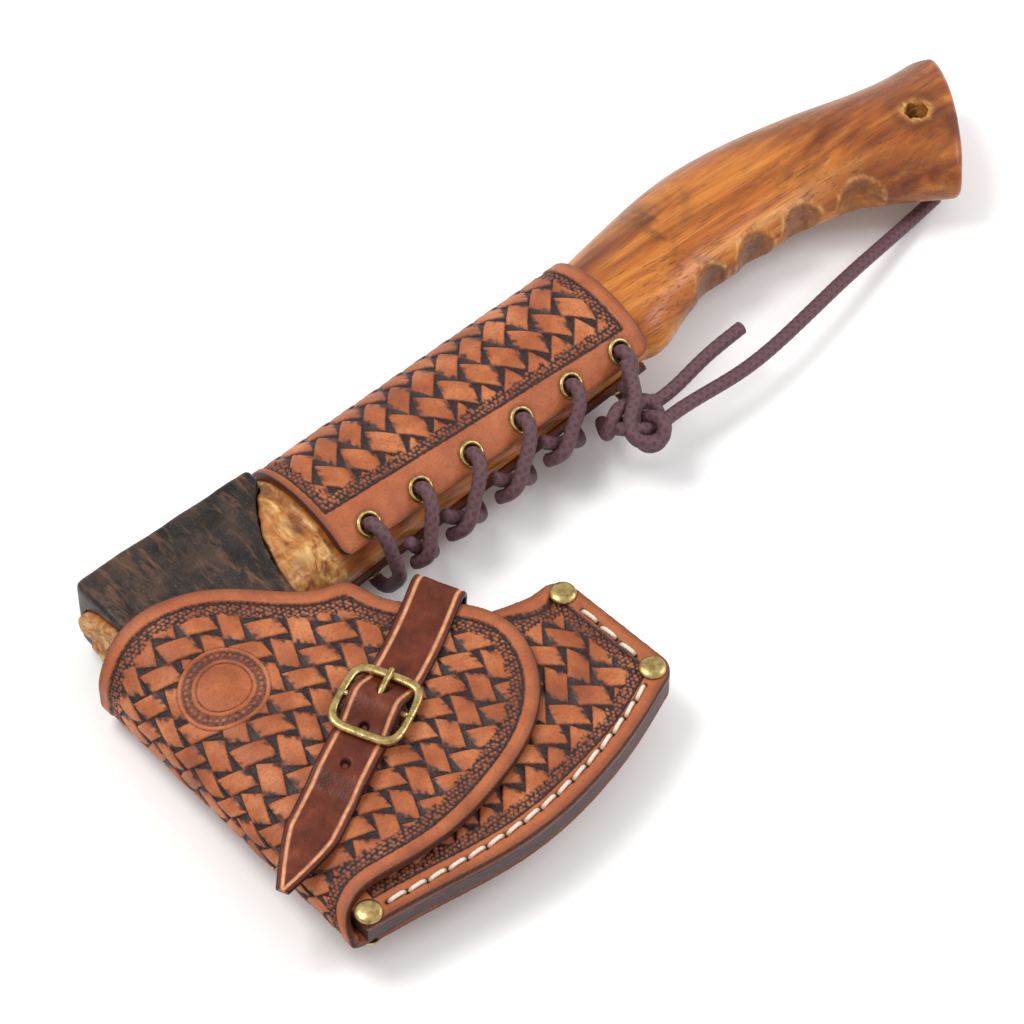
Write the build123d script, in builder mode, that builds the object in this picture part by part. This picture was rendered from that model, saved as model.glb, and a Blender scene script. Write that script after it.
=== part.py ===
from build123d import *
from math import atan2, cos, degrees, pi, radians, sin, sqrt
import os

os.makedirs("parts", exist_ok=True)

# Frame: origin at the centre of the poll's flat face, +X along the eye toward the knob,
# +Y out of the poll, +Z out of the cheek that carries the buckle. Millimetres.

# ---- driving dimensions -------------------------------------------------------------
HEAD_HALF = 38.0
CHEEK = 16.0
EDGE_CENTRE = (18.0, -62.0)
EDGE_RADIUS = 103.5
EYE_CENTRE = -26.0
EYE_DEPTH = 21.1
EYE_WIDTH = 12.1
EYE_GAP = 0.1
LEATHER = 3.0
WELT = 3.0
WELT_WIDTH = 10.5
FOLD_X = -52.5
MOUTH_Y = -28.0
RIVET_CAP = 5.0
COLLAR_START = 41.5
COLLAR_END = 187.5
COLLAR_GAP = 0.35
CORD = 2.6
EYELET_OUT = 4.9
EYELET_IN = 3.2
STRAP_WIDTH = 19.0
BILLET = 1.9
CHAPE = 1.7
WIRE = 1.2
STRAP_ANGLE = 27.0
BUCKLE_AT = (6.8, -108.5)
MOUTH_TO_BUCKLE = 55.8
BUCKLE_PITCH = 12.8
BUCKLE_RAIL = 11.8
BAR_HEIGHT = 4.3
BUCKLE_TILT = 4.02
STRAP_TIP = 132.0
STRAP_HOLES = [65.6, 81.0]
CHAPE_RIVETS = [74.5, 81.5]
BACK_RIVETS = [24.0, 40.0]
STITCH_PITCH = 7.6
LANYARD_AT = (335.0, -28.5)
LANYARD_RADIUS = 4.0

# Steel boundary on the haft side: poll spur, arch, throat and beard.
ARCH = [(38, -7), (28.6, -17.9), (21, -34.5), (19.3, -54), (31, -84), (54, -104), (77, -118)]

# Haft stations: x, top y, bottom y, half width in z.
HAFT = [
    (14, 0.0, -53.5, 16.2),
    (188, 5.5, -42.8, 14.2),
    (210, 10.3, -38.8, 14.0),
    (237, 14.7, -34.2, 13.9),
    (262, 14.8, -34.6, 13.9),
    (284, 11.8, -36.8, 13.9),
    (305, 7.4, -44.6, 14.3),
    (326, 2.0, -58.2, 14.9),
    (345, -1.4, -68.5, 15.3),
    (372, -4.0, -74.0, 15.4),
]
GROOVES = [(227.5, 9.5, 4.6), (249.5, 9.5, 4.4), (271.5, 9.5, 4.4), (294.5, 10.5, 5.0)]

KNOB_TOP = (363.5, -10.5)
KNOB_HEEL = (321.5, -69.0)

# ---- sheath planes: z of the inner faces as linear functions of y ---------------------
EDGE_Y = -155.0
FLAP_SLOPE = 0.0755
FLAP_BASE = 16.6
BACK_SLOPE = (16.6 - WELT - 0.1) / (MOUTH_Y - EDGE_Y)
FRONT_SLOPE = FLAP_SLOPE


def flap_z(y):
    return FLAP_BASE + FLAP_SLOPE * (y - MOUTH_Y)


def front_z(y):
    return WELT + 0.1 + FRONT_SLOPE * (y - EDGE_Y)


def back_z(y):
    return WELT + 0.1 + BACK_SLOPE * (y - EDGE_Y)


# ---- haft helpers -------------------------------------------------------------------
def haft_at(x):
    for a, b in zip(HAFT, HAFT[1:]):
        if a[0] <= x <= b[0]:
            t = (x - a[0]) / (b[0] - a[0])
            return [a[k] + t * (b[k] - a[k]) for k in (1, 2, 3)]


def haft_sections(grow, stations):
    sections = []
    for x, top, bottom, half in stations:
        with BuildSketch(Plane.YZ.offset(x)) as section:
            with Locations(((top + bottom) / 2, 0)):
                Ellipse((top - bottom) / 2 + grow, half + grow)
        sections.append(section.sketch)
    return sections


def around(x, angle, height):
    top, bottom, half = haft_at(x)
    g = COLLAR_GAP + LEATHER + height
    a = radians(angle)
    return (x, (top + bottom) / 2 - ((top - bottom) / 2 + g) * sin(a), (half + g) * cos(a))


def arch_region(shift, far):
    with BuildSketch(Plane.XY) as region:
        with BuildLine():
            Line((far, 40), (38 + shift, 40))
            Line((38 + shift, 40), (38 + shift, ARCH[0][1]))
            Spline([(x + shift, y) for x, y in ARCH])
            Line((ARCH[-1][0] + shift, ARCH[-1][1]), (far, ARCH[-1][1]))
            Line((far, ARCH[-1][1]), (far, 40))
        make_face()
    return region.sketch


def wood_wedge_outline(gap):
    with BuildSketch(Plane.XZ.offset(21.5 - gap)) as outline:
        with BuildLine():
            Polyline((-39, 2.1 + gap), (-6, 0.7 + gap), (-6, -0.7 - gap), (-39, -2.1 - gap), close=True)
        make_face()
    return outline.sketch


def steel_wedge_outline(gap):
    with BuildSketch(Plane.XY.offset(-8.5 - gap)) as outline:
        with BuildLine():
            Polyline((-39, -31.9 + gap), (-15, -32.7 + gap), (-15, -33.3 - gap), (-39, -34.1 - gap), close=True)
        make_face()
    return outline.sketch


# ---- axe head -----------------------------------------------------------------------
EDGE_HEEL = (77.0, EDGE_CENTRE[1] - sqrt(EDGE_RADIUS**2 - 59.0**2))
EDGE_TOE = (-42.0, EDGE_CENTRE[1] - sqrt(EDGE_RADIUS**2 - 60.0**2))

with BuildPart() as head:
    with BuildSketch(Plane.XY):
        with BuildLine():
            Line((-HEAD_HALF, 0), (HEAD_HALF, 0))
            Line((HEAD_HALF, 0), ARCH[0])
            Spline(ARCH)
            Line(ARCH[-1], EDGE_HEEL)
            ThreePointArc(EDGE_HEEL, (EDGE_CENTRE[0], EDGE_CENTRE[1] - EDGE_RADIUS), EDGE_TOE)
            Spline(EDGE_TOE, (-38.5, -100), (-36.5, -60), (-HEAD_HALF, -24))
            Line((-HEAD_HALF, -24), (-HEAD_HALF, 0))
        make_face()
    extrude(amount=30, both=True)
    with BuildSketch(Plane.YZ):
        with BuildLine():
            Line((0, -CHEEK), (0, CHEEK))
            Line((0, CHEEK), (-30, CHEEK))
            Spline((-30, CHEEK), (-45, 13.6), (-62, 10.2), (-90, 7.0), (-130, 3.9), (-166, 1.2))
            Line((-166, 1.2), (-166, -1.2))
            Spline((-30, -CHEEK), (-45, -13.6), (-62, -10.2), (-90, -7.0), (-130, -3.9), (-166, -1.2))
            Line((-30, -CHEEK), (0, -CHEEK))
        make_face()
    extrude(amount=120, both=True, mode=Mode.INTERSECT)
    with BuildSketch(Plane((EDGE_CENTRE[0], EDGE_CENTRE[1], 0), x_dir=(0, -1, 0), z_dir=(1, 0, 0))):
        with BuildLine():
            Polyline(
                (0, -20), (88, -20), (88, -4.3), (EDGE_RADIUS, -0.2), (EDGE_RADIUS, 0.2), (88, 4.3),
                (88, 20), (0, 20), close=True,
            )
        make_face()
    revolve(axis=Axis((EDGE_CENTRE[0], EDGE_CENTRE[1], 0), (0, 0, 1)), mode=Mode.INTERSECT)
    with BuildSketch(Plane.YZ.offset(-60)):
        with Locations((EYE_CENTRE, 0)):
            Ellipse(EYE_DEPTH, EYE_WIDTH)
    extrude(amount=150, mode=Mode.SUBTRACT)
    fillet(head.faces().sort_by(Axis.Y)[-1].edges(), 2.5)

# ---- haft: tenon, shoulder, shaft, finger grooves and flared knob --------------------
with BuildPart() as haft:
    loft(haft_sections(0, HAFT[:2]))
    loft(haft_sections(0, HAFT[1:]))
    with BuildSketch(Plane.XY):
        with BuildLine():
            Line((300, 60), (343, 16))
            Line((343, 16), KNOB_TOP)
            ThreePointArc(KNOB_TOP, (352, -31), KNOB_HEEL)
            Line(KNOB_HEEL, (300, -100))
            Line((300, -100), (0, -100))
            Line((0, -100), (0, 60))
            Line((0, 60), (300, 60))
        make_face()
    extrude(amount=40, both=True, mode=Mode.INTERSECT)
    fillet(haft.faces().sort_by(Axis.X)[-2:].edges(), 3.0)
    for x, radius, depth in GROOVES:
        bottom = haft_at(x)[1]
        with BuildSketch(Plane.XY):
            with Locations((x, bottom - radius + depth)):
                Circle(radius)
        extrude(amount=30, both=True, mode=Mode.SUBTRACT)
    extrude(arch_region(0.15, 400), amount=40, both=True, mode=Mode.INTERSECT)
    with BuildSketch(Plane.YZ.offset(-38.6)):
        with Locations((EYE_CENTRE, 0)):
            Ellipse(EYE_DEPTH - EYE_GAP, EYE_WIDTH - EYE_GAP)
    extrude(amount=80)
    extrude(wood_wedge_outline(0.05), amount=23.1, mode=Mode.SUBTRACT)
    extrude(steel_wedge_outline(0.05), amount=17.1, mode=Mode.SUBTRACT)
    with BuildSketch(Plane.XY):
        with Locations(LANYARD_AT):
            Circle(LANYARD_RADIUS)
    extrude(amount=30, both=True, mode=Mode.SUBTRACT)

with BuildPart() as eye_wedge:
    extrude(wood_wedge_outline(0), amount=23)
    extrude(steel_wedge_outline(0.05), amount=17.1, mode=Mode.SUBTRACT)

with BuildPart() as cross_wedge:
    extrude(steel_wedge_outline(0), amount=17)

# ---- laced leather collar -----------------------------------------------------------
EYELETS = [(55.8 + 23.9 * i, 45.5 + 1.9 * i) for i in range(6)]


def eyelet_plane(x, angle, side):
    p = Vector(*around(x, angle, 0.1))
    along = Vector(*around(x + 4, angle, 0.1)) - Vector(*around(x - 4, angle, 0.1))
    down = Vector(*around(x, angle + 1, 0.1)) - Vector(*around(x, angle - 1, 0.1))
    n = along.cross(down).normalized() * -1
    return Plane((p.X, p.Y, side * p.Z), x_dir=(along.X, along.Y, side * along.Z), z_dir=(n.X, n.Y, side * n.Z))


with BuildPart() as collar:
    loft(haft_sections(COLLAR_GAP + LEATHER, HAFT[:2]))
    loft(haft_sections(COLLAR_GAP, HAFT[:2]), mode=Mode.SUBTRACT)
    with BuildSketch(Plane.XY):
        with BuildLine():
            Polyline(
                (COLLAR_START, 40), (COLLAR_START, -90), (COLLAR_END, -90), (COLLAR_END, 40), close=True,
            )
        make_face()
    extrude(amount=60, both=True, mode=Mode.INTERSECT)
    with BuildSketch(Plane.XZ.offset(30)):
        with BuildLine():
            Polyline((20, 10.6), (210, 3.6), (210, -3.6), (20, -10.6), close=True)
        make_face()
    extrude(amount=60, mode=Mode.SUBTRACT)
    for side in (1, -1):
        for x, angle in EYELETS:
            with BuildSketch(eyelet_plane(x, angle, side).offset(-9)):
                Circle(3.6)
            extrude(amount=12, mode=Mode.SUBTRACT)


def eyelet_row(side):
    with BuildPart() as row:
        for x, angle in EYELETS:
            seat = eyelet_plane(x, angle, side)
            with BuildSketch(seat):
                Circle(EYELET_OUT)
                Circle(EYELET_IN, mode=Mode.SUBTRACT)
            extrude(amount=0.7)
            with BuildSketch(seat):
                Circle(3.5)
                Circle(EYELET_IN, mode=Mode.SUBTRACT)
            extrude(amount=-2.7)
    return row.part


with BuildPart() as collar_eyelets_front:
    add(eyelet_row(1))

with BuildPart() as collar_eyelets_back:
    add(eyelet_row(-1))


def cord_along(points):
    with BuildPart() as cord:
        with BuildLine() as path:
            Spline(points)
        with BuildSketch(Plane(path.line @ 0, z_dir=path.line % 0)):
            Circle(CORD)
        sweep(path=path.line)
    return cord.part


def lace_leg(i, side, height, lean, stop):
    x, start = EYELETS[i]
    seat = eyelet_plane(x, start, 1)
    points = []
    for d, h, f in [(0, -1.2, 0), (0, 0.9, 0), (1.3, 3.4, 0.02), (5.6, 4.9, 0.12)]:
        p = seat.origin + seat.z_dir * h - seat.y_dir * d
        points.append((p.X - lean * f, p.Y, p.Z))
    mid = (start + 14 + 90) / 2
    points.append(around(x - 0.45 * lean, mid, 0.5 * (height + 4.8)))
    points.append(around(x - 0.75 * lean, 90, height))
    points.append(around(x - lean, stop, height if height < 5 else 4.6))
    return [(p[0], p[1], side * p[2]) for p in points]


with BuildPart() as collar_lace:
    bar = lace_leg(0, 1, 9.0, 0, 118)[:6]
    add(cord_along(bar + [(p[0], p[1], -p[2]) for p in reversed(bar[:5])]))
    for i in range(1, 5):
        lean = 15 if i == 1 else 22
        add(cord_along(lace_leg(i, 1, 9.0, lean, 101)))
        add(cord_along(lace_leg(i, -1, 3.0, lean, 105)))
    add(cord_along(lace_leg(5, 1, 3.0, 8, 105)[:6]))
    add(cord_along(lace_leg(5, -1, 3.0, 8, 105)[:5]))

KNOT_AT = (165.5, -67.5, 0)
KNOT_SIZE = 3.2


def trefoil(t):
    x = KNOT_SIZE * (sin(t) + 2 * sin(2 * t))
    y = KNOT_SIZE * (cos(t) - 2 * cos(2 * t))
    return (KNOT_AT[0] + x, KNOT_AT[1] + y, KNOT_AT[2] - 3.0 * sin(3 * t))


with BuildPart() as lace_knot:
    add(cord_along([trefoil(2 * pi * (k + 0.2) / 24) for k in range(24)]))

with BuildPart() as lace_tail_short:
    add(cord_along([(180.5, -61.6, 0), (200, -58.6, 0), (222, -56.3, 0)]))

with BuildPart() as lace_tail_long:
    add(cord_along(
        [
            (181.5, -68.2, -3), (211, -67.8, -6), (245, -63.2, -8), (277, -56.5, -11),
            (310, -49.5, -16.5), (333, -45, -19),
        ]
    ))

# ---- sheath outlines ----------------------------------------------------------------
MOUTH = [
    (FOLD_X, -31.5), (-46, -29), (-25.6, -28), (-5.5, -35.3), (15.2, -52.9), (24.5, -58.6), (32.6, -62),
    (36.4, -70.5), (41.8, -79.4), (50.5, -86.6),
]
DIP = [(50.5, -86.6), (62.5, -98), (78, -102.6), (87.5, -101.2)]
HEEL = [(95.8, -109.0), (98.9, -148.5), (97.9, -154.8), (92.7, -158.7)]
EDGE = [(92.7, -158.7), (74.7, -166), (50.2, -173), (17, -176.6), (-21.5, -172), (-46.5, -168.8)]
FLAP_EDGE = [
    (50.5, -86.6), (61.0, -97.5), (65.8, -110), (64.6, -121), (56.0, -136.5), (39.3, -149), (19.6, -156),
    (-5, -160.6), (-28, -159.4), (-44, -159.0), (FOLD_X, -163.5),
]
RIVETS = [(90.4, -108.3), (92.6, -151.9), (-42.7, -164.6)]


def heel_lines():
    ThreePointArc(DIP[-1], (93.2, -103.6), HEEL[0])
    Line(HEEL[0], HEEL[1])
    ThreePointArc(HEEL[1], HEEL[2], HEEL[3])
    Spline(EDGE)


def back_outline():
    with BuildSketch(Plane.XY) as outline:
        with BuildLine():
            Spline(MOUTH)
            Spline(DIP)
            heel_lines()
            Line(EDGE[-1], (FOLD_X, -164.5))
            Line((FOLD_X, -164.5), MOUTH[0])
        make_face()
    return outline.sketch


def front_outline():
    with BuildSketch(Plane.XY) as outline:
        with BuildLine():
            Line((-46.5, -126), (40, -96))
            Spline((40, -96), (62.5, -99), DIP[-2], DIP[-1])
            heel_lines()
            Line(EDGE[-1], (-46.5, -126))
        make_face()
    return outline.sketch


def flap_outline():
    with BuildSketch(Plane.XY) as outline:
        with BuildLine():
            Spline(MOUTH)
            Spline(FLAP_EDGE)
            Line(FLAP_EDGE[-1], MOUTH[0])
        make_face()
    return outline.sketch


def welt_outline():
    with BuildSketch(Plane.XY) as outline:
        with BuildLine():
            Line((85.3, -112.5), (87, -147))
            ThreePointArc((87, -147), (86.2, -150.4), (83, -152.2))
            Spline((83, -152.2), (50, -162.8), (17, -167), (-15, -163.5), (-46.5, -157.8))
            Line((-46.5, -157.8), EDGE[-1])
            Spline(list(reversed(EDGE)))
            ThreePointArc(HEEL[3], HEEL[2], HEEL[1])
            Line(HEEL[1], HEEL[0])
            ThreePointArc(HEEL[0], (93.2, -103.6), DIP[-1])
            Spline(DIP[-1], (84.2, -104.5), (85.3, -112.5))
        make_face()
    return outline.sketch


def rivet_holes(radius):
    with BuildSketch(Plane.XY) as holes:
        with Locations(RIVETS):
            Circle(radius)
    return holes.sketch


# Bent heel facet: the plane that drops from the wedge face to the welt at the heel side.
def heel_facet(z_of, side, grow):
    flat = WELT + 0.1 + grow
    high = Vector(74.5, -103, side * (z_of(-103) + grow))
    low = Vector(85.2, -110, side * flat)
    end = Vector(75.5, EDGE_Y, side * flat)
    normal = (low - high).cross(end - high).normalized()
    if normal.Z * side < 0:
        normal = normal * -1
    return Plane(high, x_dir=(low - high).normalized(), z_dir=normal)


# Room for the blade on one side of the mid-plane, its faces grown outward by `grow`.
def cavity(z_of, side, grow, start):
    flat = WELT + 0.1 + grow
    with BuildPart() as room:
        with BuildSketch(Plane.YZ.offset(start)):
            with BuildLine():
                Polyline(
                    (20, 0), (20, side * (z_of(20) + grow)), (EDGE_Y, side * flat), (-200, side * flat),
                    (-200, 0), close=True,
                )
            make_face()
        extrude(amount=170)
        split(bisect_by=heel_facet(z_of, side, grow), keep=Keep.BOTTOM)
        with BuildSketch(Plane.YZ.offset(start)):
            with BuildLine():
                Polyline((20, 0), (20, side * flat), (-200, side * flat), (-200, 0), close=True)
            make_face()
        extrude(amount=170)
    return room.part


def fold_room(grow, start):
    with BuildPart() as room:
        with BuildSketch(Plane.YZ.offset(start)):
            with BuildLine():
                Polyline(
                    (20, 0.1), (20, flap_z(20) + grow), (-200, flap_z(-200) + grow), (-200, 0.1), close=True,
                )
            make_face()
        extrude(amount=170)
    return room.part


# ---- strap frames: x runs along the strap from the mouth to the tip ---------------------
STRAP_DIR = (-cos(radians(STRAP_ANGLE)), -sin(radians(STRAP_ANGLE)))
MOUTH_AT = (
    BUCKLE_AT[0] - STRAP_DIR[0] * MOUTH_TO_BUCKLE,
    BUCKLE_AT[1] - STRAP_DIR[1] * MOUTH_TO_BUCKLE,
)
FRONT_FACE = Plane(
    (MOUTH_AT[0], MOUTH_AT[1], flap_z(MOUTH_AT[1]) + LEATHER),
    x_dir=(STRAP_DIR[0], STRAP_DIR[1], STRAP_DIR[1] * FLAP_SLOPE),
    z_dir=(0, -FLAP_SLOPE, 1),
)
BACK_FACE = Plane(
    (MOUTH_AT[0], MOUTH_AT[1], -back_z(MOUTH_AT[1]) - LEATHER),
    x_dir=(STRAP_DIR[0], STRAP_DIR[1], -STRAP_DIR[1] * BACK_SLOPE),
    z_dir=(0, -BACK_SLOPE, -1),
)


def side_plane(face):
    return Plane(face.origin, x_dir=face.x_dir, z_dir=face.x_dir.cross(face.z_dir))


def on_face(face, s, t, h):
    return face.origin + face.x_dir * s + face.y_dir * t + face.z_dir * h


def level(face, h):
    return face.offset(h)


# Strap centre height above the flap at key distances from the mouth.
WAVE = [
    (3.5, 1.1), (MOUTH_TO_BUCKLE - BUCKLE_PITCH, 1.1), (MOUTH_TO_BUCKLE, 8.4),
    (MOUTH_TO_BUCKLE + BUCKLE_PITCH, 2.9), (72.5, 3.7), (84.0, 3.7), (94.0, 1.1), (STRAP_TIP, 1.1),
]


def wave_lines(shift):
    for (s1, h1), (s2, h2) in zip(WAVE, WAVE[1:]):
        if h1 == h2:
            Line((s1, h1 + shift), (s2, h2 + shift))
        else:
            Spline([(s1, h1 + shift), (s2, h2 + shift)], tangents=[(1, 0), (1, 0)])


def chape_holes(radius):
    with BuildSketch(FRONT_FACE) as holes:
        with Locations([(s, 0) for s in CHAPE_RIVETS]):
            Circle(radius)
    return holes.sketch


def back_holes(radius):
    with BuildSketch(BACK_FACE) as holes:
        with Locations([(s, 0) for s in BACK_RIVETS]):
            Circle(radius)
    return holes.sketch


# ---- sheath -------------------------------------------------------------------------
with BuildPart() as sheath_back:
    add(cavity(back_z, -1, LEATHER, FOLD_X - 10))
    extrude(back_outline(), amount=40, both=True, mode=Mode.INTERSECT)
    add(cavity(back_z, -1, 0, FOLD_X + LEATHER), mode=Mode.SUBTRACT)
    with BuildSketch(Plane.XY.offset(-0.1)):
        Rectangle(400, 500)
    extrude(amount=5, mode=Mode.SUBTRACT)
    extrude(rivet_holes(1.7), amount=40, both=True, mode=Mode.SUBTRACT)
    extrude(back_holes(1.3), amount=8, both=True, mode=Mode.SUBTRACT)

with BuildPart() as sheath_front:
    add(cavity(front_z, 1, LEATHER, FOLD_X - 10))
    extrude(front_outline(), amount=40, both=True, mode=Mode.INTERSECT)
    add(cavity(front_z, 1, 0, FOLD_X - 10), mode=Mode.SUBTRACT)
    extrude(rivet_holes(1.7), amount=40, both=True, mode=Mode.SUBTRACT)

with BuildPart() as sheath_flap:
    add(fold_room(LEATHER, FOLD_X))
    extrude(flap_outline(), amount=40, both=True, mode=Mode.INTERSECT)
    add(fold_room(0, FOLD_X + LEATHER), mode=Mode.SUBTRACT)
    extrude(chape_holes(1.3), amount=8, both=True, mode=Mode.SUBTRACT)

with BuildPart() as sheath_welt_upper:
    extrude(welt_outline(), amount=WELT)
    extrude(rivet_holes(1.7), amount=40, both=True, mode=Mode.SUBTRACT)

with BuildPart() as sheath_welt_lower:
    extrude(welt_outline(), amount=-WELT)
    extrude(rivet_holes(1.7), amount=40, both=True, mode=Mode.SUBTRACT)

# ---- closure strap ------------------------------------------------------------------
BEND_OUT = 5.9
BACK_LEG = -31.0
BEND_AT = -2.4

with BuildPart() as strap_front:
    half = BILLET / 2
    with BuildSketch(side_plane(FRONT_FACE)):
        with BuildLine():
            wave_lines(half)
            Line((STRAP_TIP, 1.1 + half), (STRAP_TIP, 1.1 - half))
            wave_lines(-half)
            inner = BEND_OUT - BILLET
            Line((3.5, 1.1 - half), (BEND_AT + BEND_OUT, 1.1 - half))
            a1 = RadiusArc(
                (BEND_AT + BEND_OUT, 1.1 - half), (BEND_AT + BILLET, 1.1 - half - inner), -inner
            )
            Line(a1 @ 1, (BEND_AT + BILLET, BACK_LEG + inner))
            RadiusArc((BEND_AT + BILLET, BACK_LEG + inner), (BEND_AT + BEND_OUT, BACK_LEG), -inner)
            Line((BEND_AT + BEND_OUT, BACK_LEG), (14, BACK_LEG))
            Line((14, BACK_LEG), (14, BACK_LEG - BILLET))
            Line((14, BACK_LEG - BILLET), (BEND_AT + BEND_OUT, BACK_LEG - BILLET))
            RadiusArc(
                (BEND_AT + BEND_OUT, BACK_LEG - BILLET), (BEND_AT, BACK_LEG - BILLET + BEND_OUT), BEND_OUT
            )
            Line((BEND_AT, BACK_LEG - BILLET + BEND_OUT), (BEND_AT, 1.1 + half - BEND_OUT))
            RadiusArc((BEND_AT, 1.1 + half - BEND_OUT), (BEND_AT + BEND_OUT, 1.1 + half), BEND_OUT)
        make_face()
    extrude(amount=STRAP_WIDTH / 2, both=True)
    with BuildSketch(FRONT_FACE):
        with BuildLine():
            Polyline(
                (-20, 40), (-20, -40), (STRAP_TIP - 22, -40), (STRAP_TIP - 22, -STRAP_WIDTH / 2),
                (STRAP_TIP, -2.2), (STRAP_TIP, 2.2), (STRAP_TIP - 22, STRAP_WIDTH / 2),
                (STRAP_TIP - 22, 40), close=True,
            )
        make_face()
    extrude(amount=60, both=True, mode=Mode.INTERSECT)
    with BuildSketch(FRONT_FACE):
        with Locations((50.4, 0)):
            SlotOverall(7.4, 3.8)
        with Locations([(s, 0) for s in STRAP_HOLES]):
            Circle(1.9)
    extrude(amount=20, both=True, mode=Mode.SUBTRACT)

with BuildPart() as strap_back:
    with BuildSketch(level(BACK_FACE, 0.1)):
        with Locations((33, 0)):
            Rectangle(37, STRAP_WIDTH)
    extrude(amount=BILLET)
    extrude(back_holes(1.3), amount=8, both=True, mode=Mode.SUBTRACT)

with BuildPart() as strap_rivets:
    for s in BACK_RIVETS:
        with BuildSketch(level(BACK_FACE, 0.15 + BILLET)):
            with Locations((s, 0)):
                Circle(4.2)
        extrude(amount=1.0)
        with BuildSketch(level(BACK_FACE, 0.15 + BILLET)):
            with Locations((s, 0)):
                Circle(1.2)
        extrude(amount=-(0.15 + BILLET + LEATHER + 0.05))
        with BuildSketch(level(BACK_FACE, -LEATHER - 0.05)):
            with Locations((s, 0)):
                Circle(2.6)
        extrude(amount=-0.5)

# ---- buckle -------------------------------------------------------------------------
with BuildPart() as buckle_chape:
    with BuildSketch(side_plane(FRONT_FACE)):
        with Locations((MOUTH_TO_BUCKLE, BAR_HEIGHT)):
            Circle(WIRE + 0.1 + CHAPE)
        with BuildLine():
            Polyline(
                (56.6, 1.5), (64, 0.1), (87, 0.1), (87, 0.1 + CHAPE), (66, 0.1 + CHAPE), (58.0, 6.2),
                close=True,
            )
        make_face()
        with Locations((MOUTH_TO_BUCKLE, BAR_HEIGHT)):
            Circle(WIRE + 0.1, mode=Mode.SUBTRACT)
    extrude(amount=STRAP_WIDTH / 2, both=True)
    with BuildSketch(FRONT_FACE):
        with Locations((MOUTH_TO_BUCKLE - 1.2, 0)):
            Rectangle(8.2, 4.2)
    extrude(amount=20, both=True, mode=Mode.SUBTRACT)
    extrude(chape_holes(1.3), amount=8, both=True, mode=Mode.SUBTRACT)

with BuildPart() as chape_rivets:
    for s in CHAPE_RIVETS:
        with BuildSketch(level(FRONT_FACE, 0.15 + CHAPE)):
            with Locations((s, 0)):
                Circle(3.0)
        extrude(amount=0.65)
        with BuildSketch(level(FRONT_FACE, 0.15 + CHAPE)):
            with Locations((s, 0)):
                Circle(1.2)
        extrude(amount=-(0.15 + CHAPE + LEATHER + 0.05))
        with BuildSketch(level(FRONT_FACE, -LEATHER - 0.05)):
            with Locations((s, 0)):
                Circle(2.4)
        extrude(amount=-0.4)

BUCKLE_FACE = Plane(
    on_face(FRONT_FACE, MOUTH_TO_BUCKLE, 0, BAR_HEIGHT),
    x_dir=FRONT_FACE.x_dir * cos(radians(BUCKLE_TILT)) + FRONT_FACE.z_dir * sin(radians(BUCKLE_TILT)),
    z_dir=FRONT_FACE.z_dir * cos(radians(BUCKLE_TILT)) - FRONT_FACE.x_dir * sin(radians(BUCKLE_TILT)),
)

with BuildPart() as buckle_frame:
    with BuildSketch(BUCKLE_FACE):
        RectangleRounded(2 * (BUCKLE_PITCH + WIRE), 2 * (BUCKLE_RAIL + WIRE), 6.2)
        RectangleRounded(2 * (BUCKLE_PITCH - WIRE), 2 * (BUCKLE_RAIL - WIRE), 3.8, mode=Mode.SUBTRACT)
    extrude(amount=WIRE, both=True)
    fillet(buckle_frame.edges(), 1.0)
    with BuildSketch(Plane(BUCKLE_FACE.origin, x_dir=BUCKLE_FACE.x_dir, z_dir=BUCKLE_FACE.y_dir)):
        Circle(WIRE)
    extrude(amount=BUCKLE_RAIL, both=True)

with BuildPart() as buckle_tongue:
    with BuildSketch(side_plane(FRONT_FACE)):
        with Locations((MOUTH_TO_BUCKLE, BAR_HEIGHT)):
            Circle(2.6)
        with BuildLine():
            Polyline((55.5, 6.85), (42.4, 6.9), (41.2, 6.1), (42.4, 4.85), (54.5, 3.6), close=True)
        make_face()
        with Locations((MOUTH_TO_BUCKLE, BAR_HEIGHT)):
            Circle(WIRE + 0.1, mode=Mode.SUBTRACT)
    extrude(amount=1.3, both=True)

# ---- stitching and rivets -----------------------------------------------------------
SEAM_HEEL = [(91.0, -116.5), (92.0, -145.0)]
SEAM_EDGE = [(86.5, -155.3), (74, -160.0), (50, -166.9), (17, -170.6), (-15, -168.2), (-35.5, -165.3)]


def stitch_places():
    places = []
    with BuildLine() as heel:
        Line(SEAM_HEEL)
    with BuildLine() as edge:
        Spline(SEAM_EDGE)
    for seam in (heel.wires()[0], edge.wires()[0]):
        count = int(seam.length / STITCH_PITCH)
        for k in range(count):
            t = (k + 0.5) / count
            p = seam @ t
            d = seam % t
            places.append((p.X, p.Y, degrees(atan2(d.Y, d.X))))
    return places


def stitch_row(z, rise):
    with BuildPart() as row:
        for x, y, turn in stitch_places():
            with BuildSketch(Plane.XY.offset(z)):
                with Locations(Location((x, y, 0), (0, 0, turn))):
                    SlotOverall(STITCH_PITCH - 1.5, 1.4)
            extrude(amount=rise)
    return row.part


SANDWICH = WELT + 0.1 + LEATHER

with BuildPart() as stitching_front:
    add(stitch_row(SANDWICH + 0.02, 0.7))

with BuildPart() as stitching_back:
    add(stitch_row(-SANDWICH - 0.02, -0.7))

with BuildPart() as rivet_caps:
    for x, y in RIVETS:
        with BuildSketch(Plane.XY.offset(SANDWICH + 0.03)):
            with Locations((x, y)):
                Circle(RIVET_CAP)
        extrude(amount=1.9)
    fillet(rivet_caps.faces().group_by(Axis.Z)[-1].edges(), 1.45)

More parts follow.
